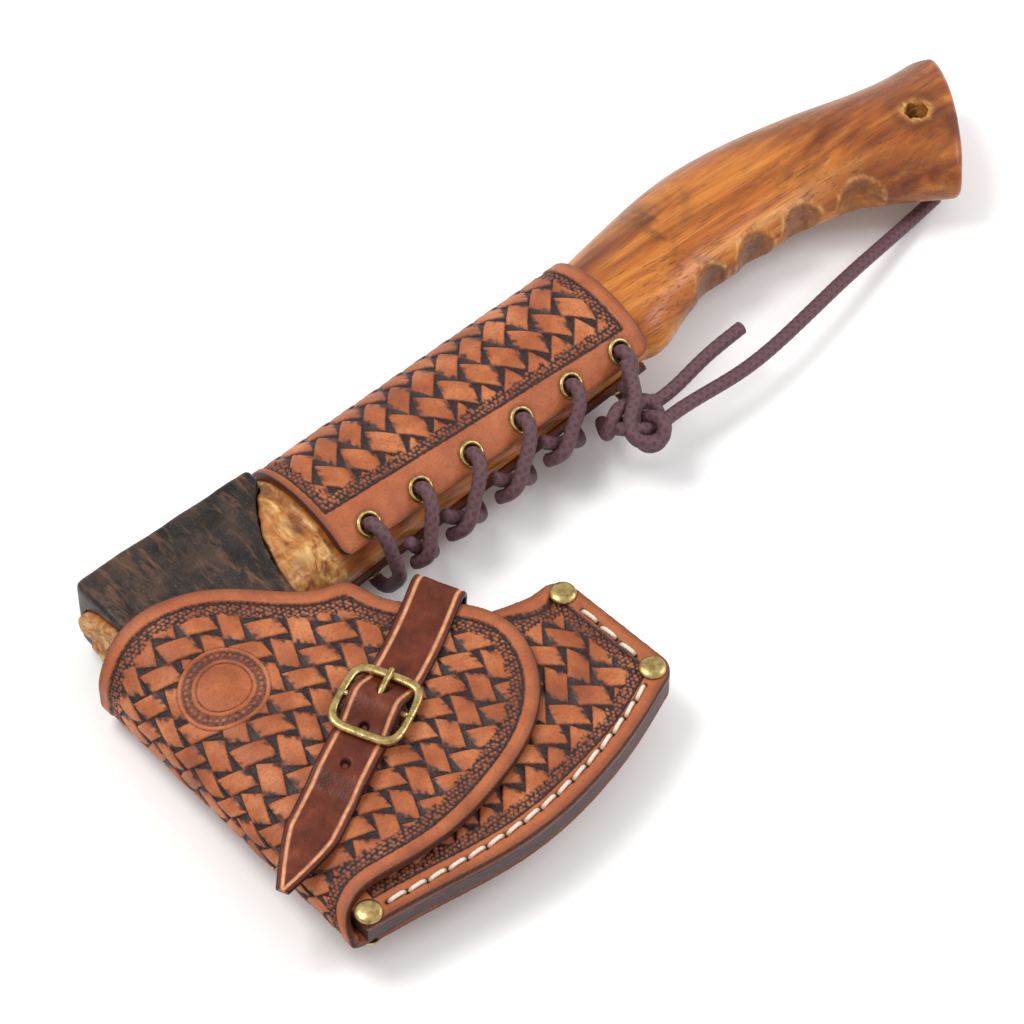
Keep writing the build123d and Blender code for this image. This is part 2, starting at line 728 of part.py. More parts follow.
with BuildPart() as rivet_posts:
    for x, y in RIVETS:
        with BuildSketch(Plane.XY.offset(-SANDWICH - 0.05)):
            with Locations((x, y)):
                Circle(4.2)
        extrude(amount=-0.9)
        with BuildSketch(Plane.XY.offset(-SANDWICH - 0.05)):
            with Locations((x, y)):
                Circle(1.6)
        extrude(amount=2 * SANDWICH + 0.03)

# ---- one file per node --------------------------------------------------------------
NODES = {
    "head": head, "haft": haft, "eye_wedge": eye_wedge, "cross_wedge": cross_wedge, "collar": collar,
    "collar_eyelets_front": collar_eyelets_front, "collar_eyelets_back": collar_eyelets_back,
    "collar_lace": collar_lace, "lace_knot": lace_knot, "lace_tail_short": lace_tail_short,
    "lace_tail_long": lace_tail_long, "sheath_back": sheath_back, "sheath_front": sheath_front,
    "sheath_flap": sheath_flap, "sheath_welt_upper": sheath_welt_upper,
    "sheath_welt_lower": sheath_welt_lower, "stitching_front": stitching_front,
    "stitching_back": stitching_back, "rivet_caps": rivet_caps, "rivet_posts": rivet_posts,
    "strap_front": strap_front, "strap_back": strap_back, "strap_rivets": strap_rivets,
    "buckle_chape": buckle_chape, "chape_rivets": chape_rivets, "buckle_frame": buckle_frame,
    "buckle_tongue": buckle_tongue,
}

for label, node in NODES.items():
    node.part.label = label
    export_step(node.part, f"parts/{label}.step")
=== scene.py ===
import math

import bpy
import numpy as np
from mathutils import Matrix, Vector
from mathutils.kdtree import KDTree


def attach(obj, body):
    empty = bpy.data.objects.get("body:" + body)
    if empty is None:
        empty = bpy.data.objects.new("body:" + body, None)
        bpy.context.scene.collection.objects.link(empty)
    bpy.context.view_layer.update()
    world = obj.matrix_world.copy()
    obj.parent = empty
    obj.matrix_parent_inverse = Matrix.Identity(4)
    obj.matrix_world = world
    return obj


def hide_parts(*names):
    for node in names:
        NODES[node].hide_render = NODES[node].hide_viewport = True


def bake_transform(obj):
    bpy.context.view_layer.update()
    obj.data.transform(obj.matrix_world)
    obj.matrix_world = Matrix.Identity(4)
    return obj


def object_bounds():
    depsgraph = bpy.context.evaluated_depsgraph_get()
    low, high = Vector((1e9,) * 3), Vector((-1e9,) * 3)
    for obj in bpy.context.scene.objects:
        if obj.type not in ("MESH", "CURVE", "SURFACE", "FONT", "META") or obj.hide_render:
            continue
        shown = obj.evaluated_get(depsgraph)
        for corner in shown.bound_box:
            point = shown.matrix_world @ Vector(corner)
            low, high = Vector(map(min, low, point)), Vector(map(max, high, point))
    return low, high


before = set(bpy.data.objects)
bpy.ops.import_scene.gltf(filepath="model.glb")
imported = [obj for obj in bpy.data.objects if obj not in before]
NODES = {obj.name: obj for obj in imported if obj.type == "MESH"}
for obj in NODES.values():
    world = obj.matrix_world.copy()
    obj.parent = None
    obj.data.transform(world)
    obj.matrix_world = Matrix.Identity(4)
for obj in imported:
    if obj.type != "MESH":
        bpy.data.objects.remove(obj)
cad_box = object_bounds()
MM = 0.001

# ---- object dimensions in mm, in the row frame ----
LEATHER = 3.0
FOLD_X = -52.5
SANDWICH = 6.1  # seam: mid-plane to the outer face of either panel
INNER = SANDWICH - LEATHER  # mid-plane to the inner face at the seam
TOE_Y = -155.0  # where both panels start to leave the seam's plane
FLAP_TOP, FLAP_Y = 16.6, -28.0  # inner face of the flap, and the y it is given for
SLOPE = 0.0755
BACK_SLOPE = 13.5 / 127.0
CUT_Y = -168.2  # lower end of the fold's wall
CURVE_STEP = 0.1
EDGE_ROUND = 1.0
HAFT = [
    (14, 0.0, -53.5, 16.2), (188, 5.5, -42.8, 14.2), (210, 10.3, -38.8, 14.0), (237, 14.7, -34.2, 13.9),
    (262, 14.8, -34.6, 13.9), (284, 11.8, -36.8, 13.9), (305, 7.4, -44.6, 14.3), (326, 2.0, -58.2, 14.9),
    (345, -1.4, -68.5, 15.3), (372, -4.0, -74.0, 15.4),
]
SCOOPS = (227.5, 249.5, 271.5, 294.5)
EYELETS = [(55.8 + 23.9 * i, 45.5 + 1.9 * i) for i in range(6)]
COLLAR_GAP = 0.35
COLLAR_ENDS = (41.5, 187.5)
EDGE_CENTRE, EDGE_RADIUS = (18.0, -62.0), 103.4  # arc of the cutting edge
LANYARD_HOLE = (335, -28.5)
MOUTH = [
    (-52.5, -31.5), (-46, -29), (-25.6, -28), (-5.5, -35.3), (15.2, -52.9), (24.5, -58.6), (32.6, -62),
    (36.4, -70.5), (41.8, -79.4), (50.5, -86.6),
]
DIP = [(50.5, -86.6), (62.5, -98), (78, -102.6), (87.5, -101.2)]
HEEL = [(95.8, -109.0), (98.9, -148.5), (97.9, -154.8), (92.7, -158.7)]
EDGE = [(92.7, -158.7), (74.7, -166), (50.2, -173), (17, -176.6), (-21.5, -172), (-46.5, -168.8)]
FLAP_EDGE = [
    (50.5, -86.6), (61.0, -97.5), (65.8, -110), (64.6, -121), (56.0, -136.5), (39.3, -149), (19.6, -156),
    (-5, -160.6), (-28, -159.4), (-44, -159.0), (-52.5, -163.5),
]
RIVETS = [(90.4, -108.3), (92.6, -151.9), (-42.7, -164.6)]
SEAM_HEEL = [(91.0, -116.5), (92.0, -145.0)]
SEAM_EDGE = [(86.5, -155.3), (74, -160.0), (50, -166.9), (17, -170.6), (-15, -168.2), (-35.5, -165.3)]
STITCH_PITCH = 7.6
STRAP_ANGLE = 27.0
BUCKLE_AT = (6.8, -108.5)
MOUTH_TO_BUCKLE = 55.8
EMBLEM = (-25.5, -69.0)
EMBLEM_RADIUS = 15.2


# ---- small maths helpers ----
def smooth(a, b, x):
    t = np.clip((np.asarray(x, float) - a) / (b - a), 0, 1)
    return t * t * (3 - 2 * t)


def bell(x, width):
    """Smooth bump of height 1 at x = 0."""
    return np.exp(-((x / width) ** 2))


def run_along(points):
    """Length along a path up to each of its points."""
    return np.concatenate([[0], np.cumsum(np.linalg.norm(np.diff(points, axis=0), axis=1))])


def spline(points, step=CURVE_STEP):
    """Natural cubic spline through the points, sampled about every step mm."""
    p = np.array(points, float)
    t = run_along(p)
    n = len(p)
    h = np.diff(t)
    a = np.eye(n)
    r = np.zeros_like(p)
    for i in range(1, n - 1):
        a[i, i - 1:i + 2] = [h[i - 1], 2 * (h[i - 1] + h[i]), h[i]]
        r[i] = 6 * ((p[i + 1] - p[i]) / h[i] - (p[i] - p[i - 1]) / h[i - 1])
    m = np.linalg.solve(a, r)
    s = np.linspace(0, t[-1], max(2, int(t[-1] / step) + 1))
    k = np.clip(np.searchsorted(t, s, side="right") - 1, 0, n - 2)
    hk = h[k][:, None]
    u = (s - t[k])[:, None]
    w = hk - u
    return (m[k] * w**3 + m[k + 1] * u**3) / (6 * hk) + (p[k] / hk - m[k] * hk / 6) * w + (
        p[k + 1] / hk - m[k + 1] * hk / 6) * u


def arc3(a, b, c):
    """Arc through three points in the plane."""
    a, b, c = (np.array(q, float) for q in (a, b, c))
    d = 2 * (a[0] * (b[1] - c[1]) + b[0] * (c[1] - a[1]) + c[0] * (a[1] - b[1]))
    ux = ((a @ a) * (b[1] - c[1]) + (b @ b) * (c[1] - a[1]) + (c @ c) * (a[1] - b[1])) / d
    uy = ((a @ a) * (c[0] - b[0]) + (b @ b) * (a[0] - c[0]) + (c @ c) * (b[0] - a[0])) / d
    o = np.array([ux, uy])
    r = np.linalg.norm(a - o)
    ta, tb, tc = (math.atan2(*(q - o)[::-1]) for q in (a, b, c))
    turn = (tc - ta) % (2 * math.pi)
    if (tb - ta) % (2 * math.pi) > turn:
        turn -= 2 * math.pi
    s = np.linspace(0, turn, max(3, int(abs(turn) * r / CURVE_STEP)))
    return np.stack([o[0] + r * np.cos(ta + s), o[1] + r * np.sin(ta + s)], 1)


def line(a, b, step=CURVE_STEP):
    a, b = np.array(a, float), np.array(b, float)
    n = max(2, int(np.linalg.norm(b - a) / step) + 1)
    return a + (b - a) * np.linspace(0, 1, n)[:, None]


def inside(poly, x, y):
    """Even-odd test of many points against a closed outline."""
    px, py = poly[::6, 0], poly[::6, 1]
    qx, qy = np.roll(px, -1), np.roll(py, -1)
    hit = np.zeros(x.shape, bool)
    for k in range(len(px)):
        if py[k] == qy[k]:
            continue
        cross = (py[k] > y) != (qy[k] > y)
        if not cross.any():
            continue
        xi = px[k] + (y - py[k]) * (qx[k] - px[k]) / (qy[k] - py[k])
        hit ^= cross & (x < xi)
    return hit


def nearest(points, x, y):
    """Nearest outline sample to each point, and its distance."""
    tree = KDTree(len(points))
    for i, p in enumerate(points):
        tree.insert((p[0], p[1], 0), i)
    tree.balance()
    found = [tree.find((u, v, 0)) for u, v in zip(x.ravel().tolist(), y.ravel().tolist())]
    at = points[np.array([f[1] for f in found])]
    gap = np.array([f[2] for f in found]).reshape(x.shape)
    return at[:, 0].reshape(x.shape), at[:, 1].reshape(x.shape), gap


def hashed(i, j, k=0):
    v = np.sin(i * 127.1 + j * 311.7 + k * 74.7) * 43758.5453
    return v - np.floor(v)


def value_noise(x, y, k=0):
    """Smooth noise, -1 to 1, with features one unit wide."""
    i, j = np.floor(x), np.floor(y)
    u, v = x - i, y - j
    u, v = u * u * (3 - 2 * u), v * v * (3 - 2 * v)
    a = hashed(i, j, k) * (1 - u) + hashed(i + 1, j, k) * u
    b = hashed(i, j + 1, k) * (1 - u) + hashed(i + 1, j + 1, k) * u
    return 2 * (a * (1 - v) + b * v) - 1


# ---- mesh helpers ----
def make_piece(name, verts, faces, slot, body, replaces, attrs):
    """Mesh piece from vertices in mm; faces is a list of index arrays, one per face size."""
    mesh = bpy.data.meshes.new(name)
    verts = np.asarray(verts, np.float32)
    groups = [np.asarray(g, np.int32) for g in faces if len(g)]
    used = np.unique(np.concatenate([g.ravel() for g in groups]))
    renumber = np.zeros(len(verts), np.int32)
    renumber[used] = np.arange(len(used), dtype=np.int32)
    verts = verts[used]
    groups = [renumber[g] for g in groups]
    mesh.vertices.add(len(verts))
    mesh.vertices.foreach_set("co", (verts * MM).ravel())
    loops = np.concatenate([g.ravel() for g in groups])
    sizes = np.concatenate([np.full(len(g), g.shape[1], np.int32) for g in groups])
    mesh.loops.add(len(loops))
    mesh.loops.foreach_set("vertex_index", loops)
    mesh.polygons.add(len(sizes))
    mesh.polygons.foreach_set("loop_start", np.concatenate([[0], np.cumsum(sizes)[:-1]]).astype(np.int32))
    mesh.polygons.foreach_set("use_smooth", np.ones(len(sizes), bool))
    mesh.update(calc_edges=True)
    mesh.validate()
    for key, value in attrs.items():
        value = np.asarray(value, np.float32)[used]
        kind = "FLOAT_VECTOR" if value.ndim == 2 else "FLOAT"
        layer = mesh.attributes.new(key, kind, "POINT")
        layer.data.foreach_set("vector" if value.ndim == 2 else "value", value.ravel())
    obj = bpy.data.objects.new(name, mesh)
    bpy.context.scene.collection.objects.link(obj)
    mesh.materials.append(FINISH[slot])
    if body:
        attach(obj, body)
    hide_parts(*replaces)
    return obj


def shell(top, bottom, keep, flip):
    """Closed sheet between two vertex grids, over the kept cells."""
    rows, cols = top.shape[:2]
    n = rows * cols
    idx = np.arange(n).reshape(rows, cols)
    corners = np.stack([idx[:-1, :-1], idx[:-1, 1:], idx[1:, 1:], idx[1:, :-1]], -1)
    quads = corners[keep]
    pad = np.pad(keep, 1)
    open_sides = [
        keep & ~pad[:-2, 1:-1], keep & ~pad[1:-1, 2:], keep & ~pad[2:, 1:-1], keep & ~pad[1:-1, :-2],
    ]
    walls = []
    for k, side in enumerate(open_sides):
        a, b = corners[side][:, k], corners[side][:, (k + 1) % 4]
        walls.append(np.stack([b, a, a + n, b + n], -1))
    faces = np.concatenate([quads, quads[:, ::-1] + n] + walls)
    if flip:
        faces = faces[:, ::-1]
    return np.concatenate([top.reshape(-1, 3), bottom.reshape(-1, 3)]), faces


def cell_mid(g):
    """Middle of each grid cell."""
    return (g[:-1, :-1] + g[1:, 1:]) / 2


def used_by(keep):
    """Grid vertices that belong to a kept cell."""
    pad = np.pad(keep, 1)
    return pad[:-1, :-1] | pad[:-1, 1:] | pad[1:, :-1] | pad[1:, 1:]


def rim_of(keep):
    """Grid vertices on the border of the kept cells."""
    pad = np.pad(keep, 1).astype(int)
    count = pad[:-1, :-1] + pad[:-1, 1:] + pad[1:, :-1] + pad[1:, 1:]
    return (count > 0) & (count < 4)


def frames_along(path):
    """Normal and binormal along a 3-D path, without twist."""
    t = np.gradient(path, axis=0)
    t /= np.linalg.norm(t, axis=1)[:, None]
    n = np.cross(t[0], [0.3, 0.5, 0.81])
    n /= np.linalg.norm(n)
    normals = []
    for d in t:
        n = n - d * (n @ d)
        n = n / np.linalg.norm(n)
        normals.append(n)
    normals = np.array(normals)
    return normals, np.cross(t, normals)


def ring_quads(rows, sides, loop=False):
    """Faces between rows of closed rings; loop also joins the last row to the first."""
    i = np.arange(rows if loop else rows - 1)[:, None]
    low, high = i * sides, (i + 1) % rows * sides
    j = np.arange(sides)[None]
    k = (j + 1) % sides
    return np.stack([low + j, low + k, high + k, high + j], -1).reshape(-1, 4)


def tube(path, radius, sides, relief, caps=True):
    """Tube round a path; relief(s, angle) is a factor on the radius. Gives vertices, faces, s and angle."""
    n, b = frames_along(path)
    s = run_along(path)
    ang = np.linspace(0, 2 * math.pi, sides, endpoint=False)
    S, A = np.meshgrid(s, ang, indexing="ij")
    r = radius * relief(S, A)
    if caps:
        end = np.minimum(S, s[-1] - S)
        r = r * np.sqrt(np.clip(1 - np.clip(1 - end / (0.6 * radius), 0, 1) ** 2, 0.02, 1))
    v = path[:, None] + n[:, None] * (r * np.cos(A))[..., None] + b[:, None] * (r * np.sin(A))[..., None]
    rows = len(s)
    ends = [np.arange(sides)[::-1][None], (np.arange(sides) + (rows - 1) * sides)[None]]
    return v.reshape(-1, 3), [ring_quads(rows, sides)] + ends, S.ravel(), A.ravel()


def join(parts):
    """Joins (vertices, faces-lists, attributes) sets into one."""
    verts, faces, attrs, base = [], {}, {}, 0
    for v, groups, a in parts:
        for g in groups:
            g = np.asarray(g)
            faces.setdefault(g.shape[1], []).append(g + base)
        for key, value in a.items():
            attrs.setdefault(key, []).append(value)
        verts.append(v)
        base += len(v)
    return (np.concatenate(verts), [np.concatenate(g) for g in faces.values()],
            {k: np.concatenate(a) for k, a in attrs.items()})


def make_joined(name, parts, slot, body, node):
    verts, faces, attrs = join(parts)
    return make_piece(name, verts, faces, slot, body, [node], attrs)


# ---- node materials ----
class Shader:
    """Small helper that builds one node material."""

    def __init__(self, name, coords=None):
        self.material = bpy.data.materials.new(name)
        self.material.use_nodes = True
        self.tree = self.material.node_tree
        self.tree.nodes.clear()
        self.out = self.new("ShaderNodeOutputMaterial")
        self.bsdf = self.new("ShaderNodeBsdfPrincipled")
        self.tree.links.new(self.bsdf.outputs[0], self.out.inputs[0])
        own = None if coords else self.new("ShaderNodeTexCoord")
        self.coords = self.attr(coords, "Vector") if coords else own.outputs["Object"]

    def new(self, kind, **props):
        node = self.tree.nodes.new(kind)
        for key, value in props.items():
            setattr(node, key, value)
        return node

    def feed(self, socket, value):
        if isinstance(value, bpy.types.NodeSocket):
            self.tree.links.new(value, socket)
        elif value is not None:
            socket.default_value = value

    def put(self, kind, values, out=0, **props):
        """Adds a node with the given inputs, by name or number, and gives one of its outputs."""
        node = self.new(kind, **props)
        for key, value in values.items():
            self.feed(node.inputs[key], value)
        return node.outputs[out]

    def attr(self, name, output="Fac"):
        return self.put("ShaderNodeAttribute", {}, output, attribute_name=name)

    def stretch(self, scale, rotate=(0, 0, 0)):
        return self.put("ShaderNodeMapping", {"Vector": self.coords, "Scale": scale, "Rotation": rotate})

    def noise(self, scale, detail=3.0, rough=0.55, distort=0.0, vector=None):
        return self.put("ShaderNodeTexNoise", {
            "Vector": vector or self.coords, "Scale": scale, "Detail": detail, "Roughness": rough,
            "Distortion": distort})

    def cells(self, scale):
        return self.put("ShaderNodeTexVoronoi", {"Vector": self.coords, "Scale": scale}, feature="F1")

    def ramp(self, value, *stops):
        node = self.new("ShaderNodeValToRGB")
        self.feed(node.inputs[0], value)
        elements = node.color_ramp.elements
        while len(elements) < len(stops):
            elements.new(0.5)
        for element, (at, colour) in zip(elements, stops):
            element.position = at
            element.color = (*colour, 1) if isinstance(colour, tuple) else (colour, colour, colour, 1)
        return node.outputs[0]

    def maths(self, op, a, b, clamp=False):
        return self.put("ShaderNodeMath", {0: a, 1: b}, operation=op, use_clamp=clamp)

    def times(self, a, b, clamp=False):
        return self.maths("MULTIPLY", a, b, clamp)

    def plus(self, a, b):
        return self.maths("ADD", a, b)

    def minus(self, a, b):
        return self.maths("SUBTRACT", a, b)

    def mix(self, fac, a, b):
        a, b = ((*v, 1) if isinstance(v, tuple) else v for v in (a, b))
        return self.put("ShaderNodeMix", {0: fac, 6: a, 7: b}, 2, data_type="RGBA", blend_type="MIX")

    def bump(self, height, distance, strength=1.0, normal=None):
        return self.put("ShaderNodeBump", {
            "Height": height, "Normal": normal, "Distance": distance, "Strength": strength})

    def finish(self, colour, rough, normal=None, metal=0.0, coat=0.0, specular=0.5):
        values = {
            "Base Color": colour, "Roughness": rough, "Metallic": metal, "Normal": normal,
            "Coat Weight": coat, "Coat Roughness": 0.3, "Specular IOR Level": specular}
        for key, value in values.items():
            self.feed(self.bsdf.inputs[key], value)
        return self.material


def tooled_leather():
    s = Shader("tooled_leather", "rest")
    tan = s.ramp(
        s.noise(55, 4), (0.32, (0.27, 0.066, 0.019)), (0.5, (0.43, 0.12, 0.037)), (0.7, (0.64, 0.23, 0.085)))
    tan = s.mix(s.ramp(s.noise(800, 4, 0.7), (0.35, 0.0), (0.75, 0.5)), tan, (0.24, 0.062, 0.026))
    # painted shade: the dark attribute darkens the tooling's hollows toward black, together with the antique
    # dye that sits there
    dark = s.attr("dark")
    streak = s.noise(620, 4, 0.7)
    edge = s.plus(dark, s.times(s.minus(streak, 0.5), 1.1))
    shade = s.ramp(edge, (0.25, 0.0), (0.5, 0.55), (0.8, 1.0))
    shade = s.times(shade, s.times(dark, 2.2, clamp=True), clamp=True)
    black = s.ramp(s.noise(1500, 3), (0.35, (0.011, 0.008, 0.009)), (0.7, (0.045, 0.026, 0.027)))
    warm = s.mix(s.times(dark, 0.6, clamp=True), tan, (0.17, 0.042, 0.02))
    colour = s.mix(shade, warm, black)
    cloud = s.ramp(s.noise(90, 4), (0.3, 0.0), (0.7, 1.0))
    plain_tone = s.mix(cloud, (0.31, 0.078, 0.028), (0.45, 0.135, 0.05))
    # the plain band takes its own tone only where it is free of that dye and painted shade
    free_of_dye_and_shade = s.minus(1.0, s.times(dark, 1.6, clamp=True))
    colour = s.mix(s.times(s.attr("band"), free_of_dye_and_shade, clamp=True), colour, plain_tone)
    colour = s.mix(s.ramp(s.noise(1100, 4, 0.7), (0.5, 0.0), (0.78, 0.6)), colour, (0.12, 0.03, 0.014))
    colour = s.mix(s.attr("burnish"), colour, (0.045, 0.014, 0.01))
    grain = s.cells(1900)
    fine = s.noise(3500, 3, 0.6)
    normal = s.bump(grain, 0.00014, 0.6)
    normal = s.bump(fine, 0.00009, 0.5, normal)
    normal = s.bump(s.noise(260, 3), 0.0005, 0.6, normal)
    rough = s.plus(s.times(s.noise(300, 3), 0.25), 0.33)
    return s.finish(colour, rough, normal, specular=0.26)


def strap_leather():
    s = Shader("strap_leather", "rest")
    base = s.ramp(
        s.noise(110, 4),
        (0.3, (0.07, 0.013, 0.006)), (0.6, (0.145, 0.03, 0.013)), (0.85, (0.25, 0.066, 0.032)))
    base = s.mix(s.ramp(s.noise(1400, 4, 0.7), (0.45, 0.0), (0.8, 0.5)), base, (0.03, 0.007, 0.006))
    line_tone = s.ramp(s.noise(400, 3), (0.3, (0.5, 0.19, 0.09)), (0.7, (0.76, 0.38, 0.2)))
    colour = s.mix(s.attr("crease"), base, line_tone)
    colour = s.mix(s.attr("burnish"), colour, (0.013, 0.005, 0.005))
    normal = s.bump(s.cells(2200), 0.0001, 0.5)
    normal = s.bump(s.noise(500, 4), 0.0003, 0.5, normal)
    rough = s.plus(s.times(s.noise(400, 3), 0.25), 0.22)
    return s.finish(colour, rough, normal, specular=0.2)


def edge_leather():
    s = Shader("edge_leather")
    layer = s.noise(1.0, 3, 0.6, 0.4, s.stretch((180, 180, 2600)))
    colour = s.ramp(
        layer, (0.3, (0.018, 0.01, 0.012)), (0.55, (0.05, 0.026, 0.028)), (0.8, (0.13, 0.065, 0.06)))
    colour = s.mix(s.ramp(s.noise(300, 4), (0.55, 0.0), (0.8, 0.5)), colour, (0.16, 0.07, 0.05))
    normal = s.bump(layer, 0.0004, 0.8)
    return s.finish(colour, 0.5, normal)


def brass_finish():
    s = Shader("brass")
    wear = s.ramp(s.noise(420, 5, 0.65), (0.36, 0.0), (0.62, 1.0))
    colour = s.mix(wear, (0.27, 0.18, 0.06), (0.6, 0.45, 0.19))
    pits = s.ramp(s.noise(2600, 3, 0.7), (0.66, 0.0), (0.8, 0.6))
    colour = s.mix(pits, colour, (0.05, 0.035, 0.018))
    rough = s.minus(0.42, s.times(wear, 0.16))
    normal = s.bump(s.noise(900, 4), 0.00012, 0.6)
    normal = s.bump(s.noise(1.0, 2, 0.5, 0.0, s.stretch((4000, 700, 700))), 0.00004, 0.4, normal)
    return s.finish(colour, rough, normal, metal=1.0)


def cord_finish():
    s = Shader("cord", "rest")
    fibre = s.noise(2600, 3, 0.7)
    tone = s.ramp(fibre, (0.3, (0.05, 0.02, 0.026)), (0.55, (0.13, 0.06, 0.07)), (0.8, (0.27, 0.155, 0.165)))
    colour = s.mix(s.attr("dark"), tone, (0.022, 0.009, 0.012))
    normal = s.bump(fibre, 0.0002, 0.8)
    return s.finish(colour, s.plus(s.times(fibre, 0.3), 0.42), normal, specular=0.35)


def thread_finish():
    s = Shader("thread", "rest")
    fibre = s.noise(3000, 3, 0.6)
    colour = s.ramp(fibre, (0.3, (0.5, 0.4, 0.3)), (0.6, (0.8, 0.73, 0.62)), (0.85, (0.92, 0.88, 0.8)))
    colour = s.mix(s.attr("dark"), colour, (0.3, 0.19, 0.12))
    return s.finish(colour, 0.6, s.bump(fibre, 0.0001, 0.7))


def wood_finish():
    s = Shader("haft_wood", "rest")
    long_grain = s.noise(1.0, 5, 0.62, 0.5, s.stretch((16, 150, 150)))
    broad = s.noise(1.0, 4, 0.55, 0.8, s.stretch((13, 48, 48)))
    blotch = s.noise(38, 4, 0.6, 0.5)
    colour = s.ramp(
        long_grain, (0.3, (0.2, 0.042, 0.005)), (0.45, (0.4, 0.11, 0.014)), (0.6, (0.55, 0.19, 0.03)),
        (0.78, (0.64, 0.29, 0.065)),
    )
    scorch = s.ramp(broad, (0.36, 0.9), (0.5, 0.42), (0.6, 0.0))
    colour = s.mix(scorch, colour, (0.12, 0.018, 0.003))
    burnt = s.ramp(blotch, (0.56, 0.0), (0.7, 0.65))
    colour = s.mix(burnt, colour, (0.04, 0.011, 0.005))
    # painted highlight: the grip's upward faces are lightened toward pale tan
    top = s.attr("top")
    colour = s.mix(s.times(top, 0.2), colour, (0.55, 0.3, 0.11))
    pores = s.ramp(s.noise(1.0, 4, 0.7, 0.2, s.stretch((70, 1500, 1500))), (0.33, 1.0), (0.45, 0.0))
    colour = s.mix(s.times(pores, 0.7), colour, (0.05, 0.013, 0.004))
    pale_tone = s.ramp(
        s.noise(1.0, 4, 0.65, 0.6, s.stretch((260, 90, 260))),
        (0.34, (0.15, 0.04, 0.008)), (0.47, (0.42, 0.17, 0.036)), (0.68, (0.78, 0.5, 0.2)))
    colour = s.mix(s.attr("pale"), colour, pale_tone)
    grey_tone = s.ramp(
        s.noise(500, 4, 0.7),
        (0.3, (0.07, 0.024, 0.009)), (0.6, (0.2, 0.085, 0.033)), (0.8, (0.42, 0.22, 0.1)))
    colour = s.mix(s.attr("grey"), colour, grey_tone)
    colour = s.mix(s.attr("dark"), colour, (0.03, 0.01, 0.004))
    normal = s.bump(long_grain, 0.0006, 0.5)
    normal = s.bump(pores, 0.0002, 0.5, normal)
    normal = s.bump(s.noise(700, 3), 0.0001, 0.5, normal)
    rough = s.plus(s.times(s.attr("pale"), 0.15), 0.24)
    rough = s.plus(rough, s.times(s.noise(90, 3), 0.14))
    return s.finish(colour, rough, normal, coat=0.12, specular=0.3)


def wedge_finish():
    s = Shader("wedge_wood")
    rays = s.noise(1.0, 4, 0.6, 0.3, s.stretch((60, 900, 500)))
    colour = s.ramp(rays, (0.3, (0.25, 0.12, 0.045)), (0.6, (0.5, 0.3, 0.13)), (0.8, (0.66, 0.46, 0.24)))
    return s.finish(colour, 0.7, s.bump(rays, 0.0004, 0.8))


def steel_finish():
    s = Shader("forged_steel")
    scale = s.noise(85, 6, 0.65, 0.6)
    streak = s.noise(1.0, 5, 0.7, 0.5, s.stretch((260, 55, 260), (0, 0, 0.25)))
    colour = s.ramp(
        scale, (0.36, (0.007, 0.006, 0.0055)), (0.5, (0.022, 0.016, 0.013)), (0.66, (0.06, 0.034, 0.023)))
    rust = s.ramp(streak, (0.5, 0.0), (0.66, 0.9))
    colour = s.mix(rust, colour, (0.135, 0.062, 0.034))
    fleck = s.ramp(s.noise(1300, 3, 0.7), (0.62, 0.0), (0.76, 0.7))
    colour = s.mix(fleck, colour, (0.27, 0.18, 0.12))
    normal = s.bump(scale, 0.0009, 0.7)
    normal = s.bump(streak, 0.0005, 0.5, normal)
    normal = s.bump(s.noise(2200, 3), 0.0001, 0.6, normal)
    ground = s.times(s.attr("ground"), s.ramp(streak, (0.3, 1.0), (0.75, 0.55)))
    colour = s.mix(ground, colour, (0.3, 0.29, 0.28))
    rough = s.plus(s.times(scale, 0.35), 0.24)
    metal = s.plus(s.times(ground, 0.8), 0.12)
    return s.finish(colour, rough, normal, metal=metal, specular=0.3)


FINISH = {
    "tooled_leather": tooled_leather(), "strap_leather": strap_leather(), "edge_leather": edge_leather(),
    "brass": brass_finish(), "cord": cord_finish(), "thread": thread_finish(), "haft_wood": wood_finish(),
    "wedge_wood": wedge_finish(), "forged_steel": steel_finish(),
}


# ---- tooling of the leather ----
BLOCK = 7.5
BEAD = 1.75


def weave(a, b):
    """Basket stamping in block widths: long blocks two by one that dive under the next at both ends.
    Gives the height, 0 on top to -1 at a dive, and the shading of the dives and of the block sides."""
    i, j = np.floor(a), np.floor(b)
    k = (i - j) % 4
    level = k < 2
    along = np.where(level, a - i + k, b - j + (k == 2))
    across = np.where(level, b - j, a - i)
    from_end = np.stack([2 - along - 0.05 - 0.56 * across, along - 0.05 - 0.56 * (1 - across)])
    reach = np.stack([0.05 + 0.56 * across, 0.05 + 0.56 * (1 - across)])
    dive = np.clip(-from_end / reach, 0, 1).max(0)
    fade = np.exp(-np.clip(from_end, 0, None).min(0) / 0.2)
    comb = np.where(level, value_noise(6.5 * b, 1.1 * a, 21), value_noise(6.5 * a, 1.1 * b, 22))
    side = np.minimum(across, 1 - across) * BLOCK
    line_cut = bell(side, 0.28)
    height = -0.75 * smooth(0.0, 0.8, dive) - 0.3 * line_cut - 0.2 * (2 * across - 1) ** 2 - 0.32 * fade
    shade = np.maximum(smooth(0.0, 0.45, dive), fade * (0.42 + 0.5 * comb))
    return np.maximum(height, -1.25), np.maximum(shade, 0.6 * line_cut)


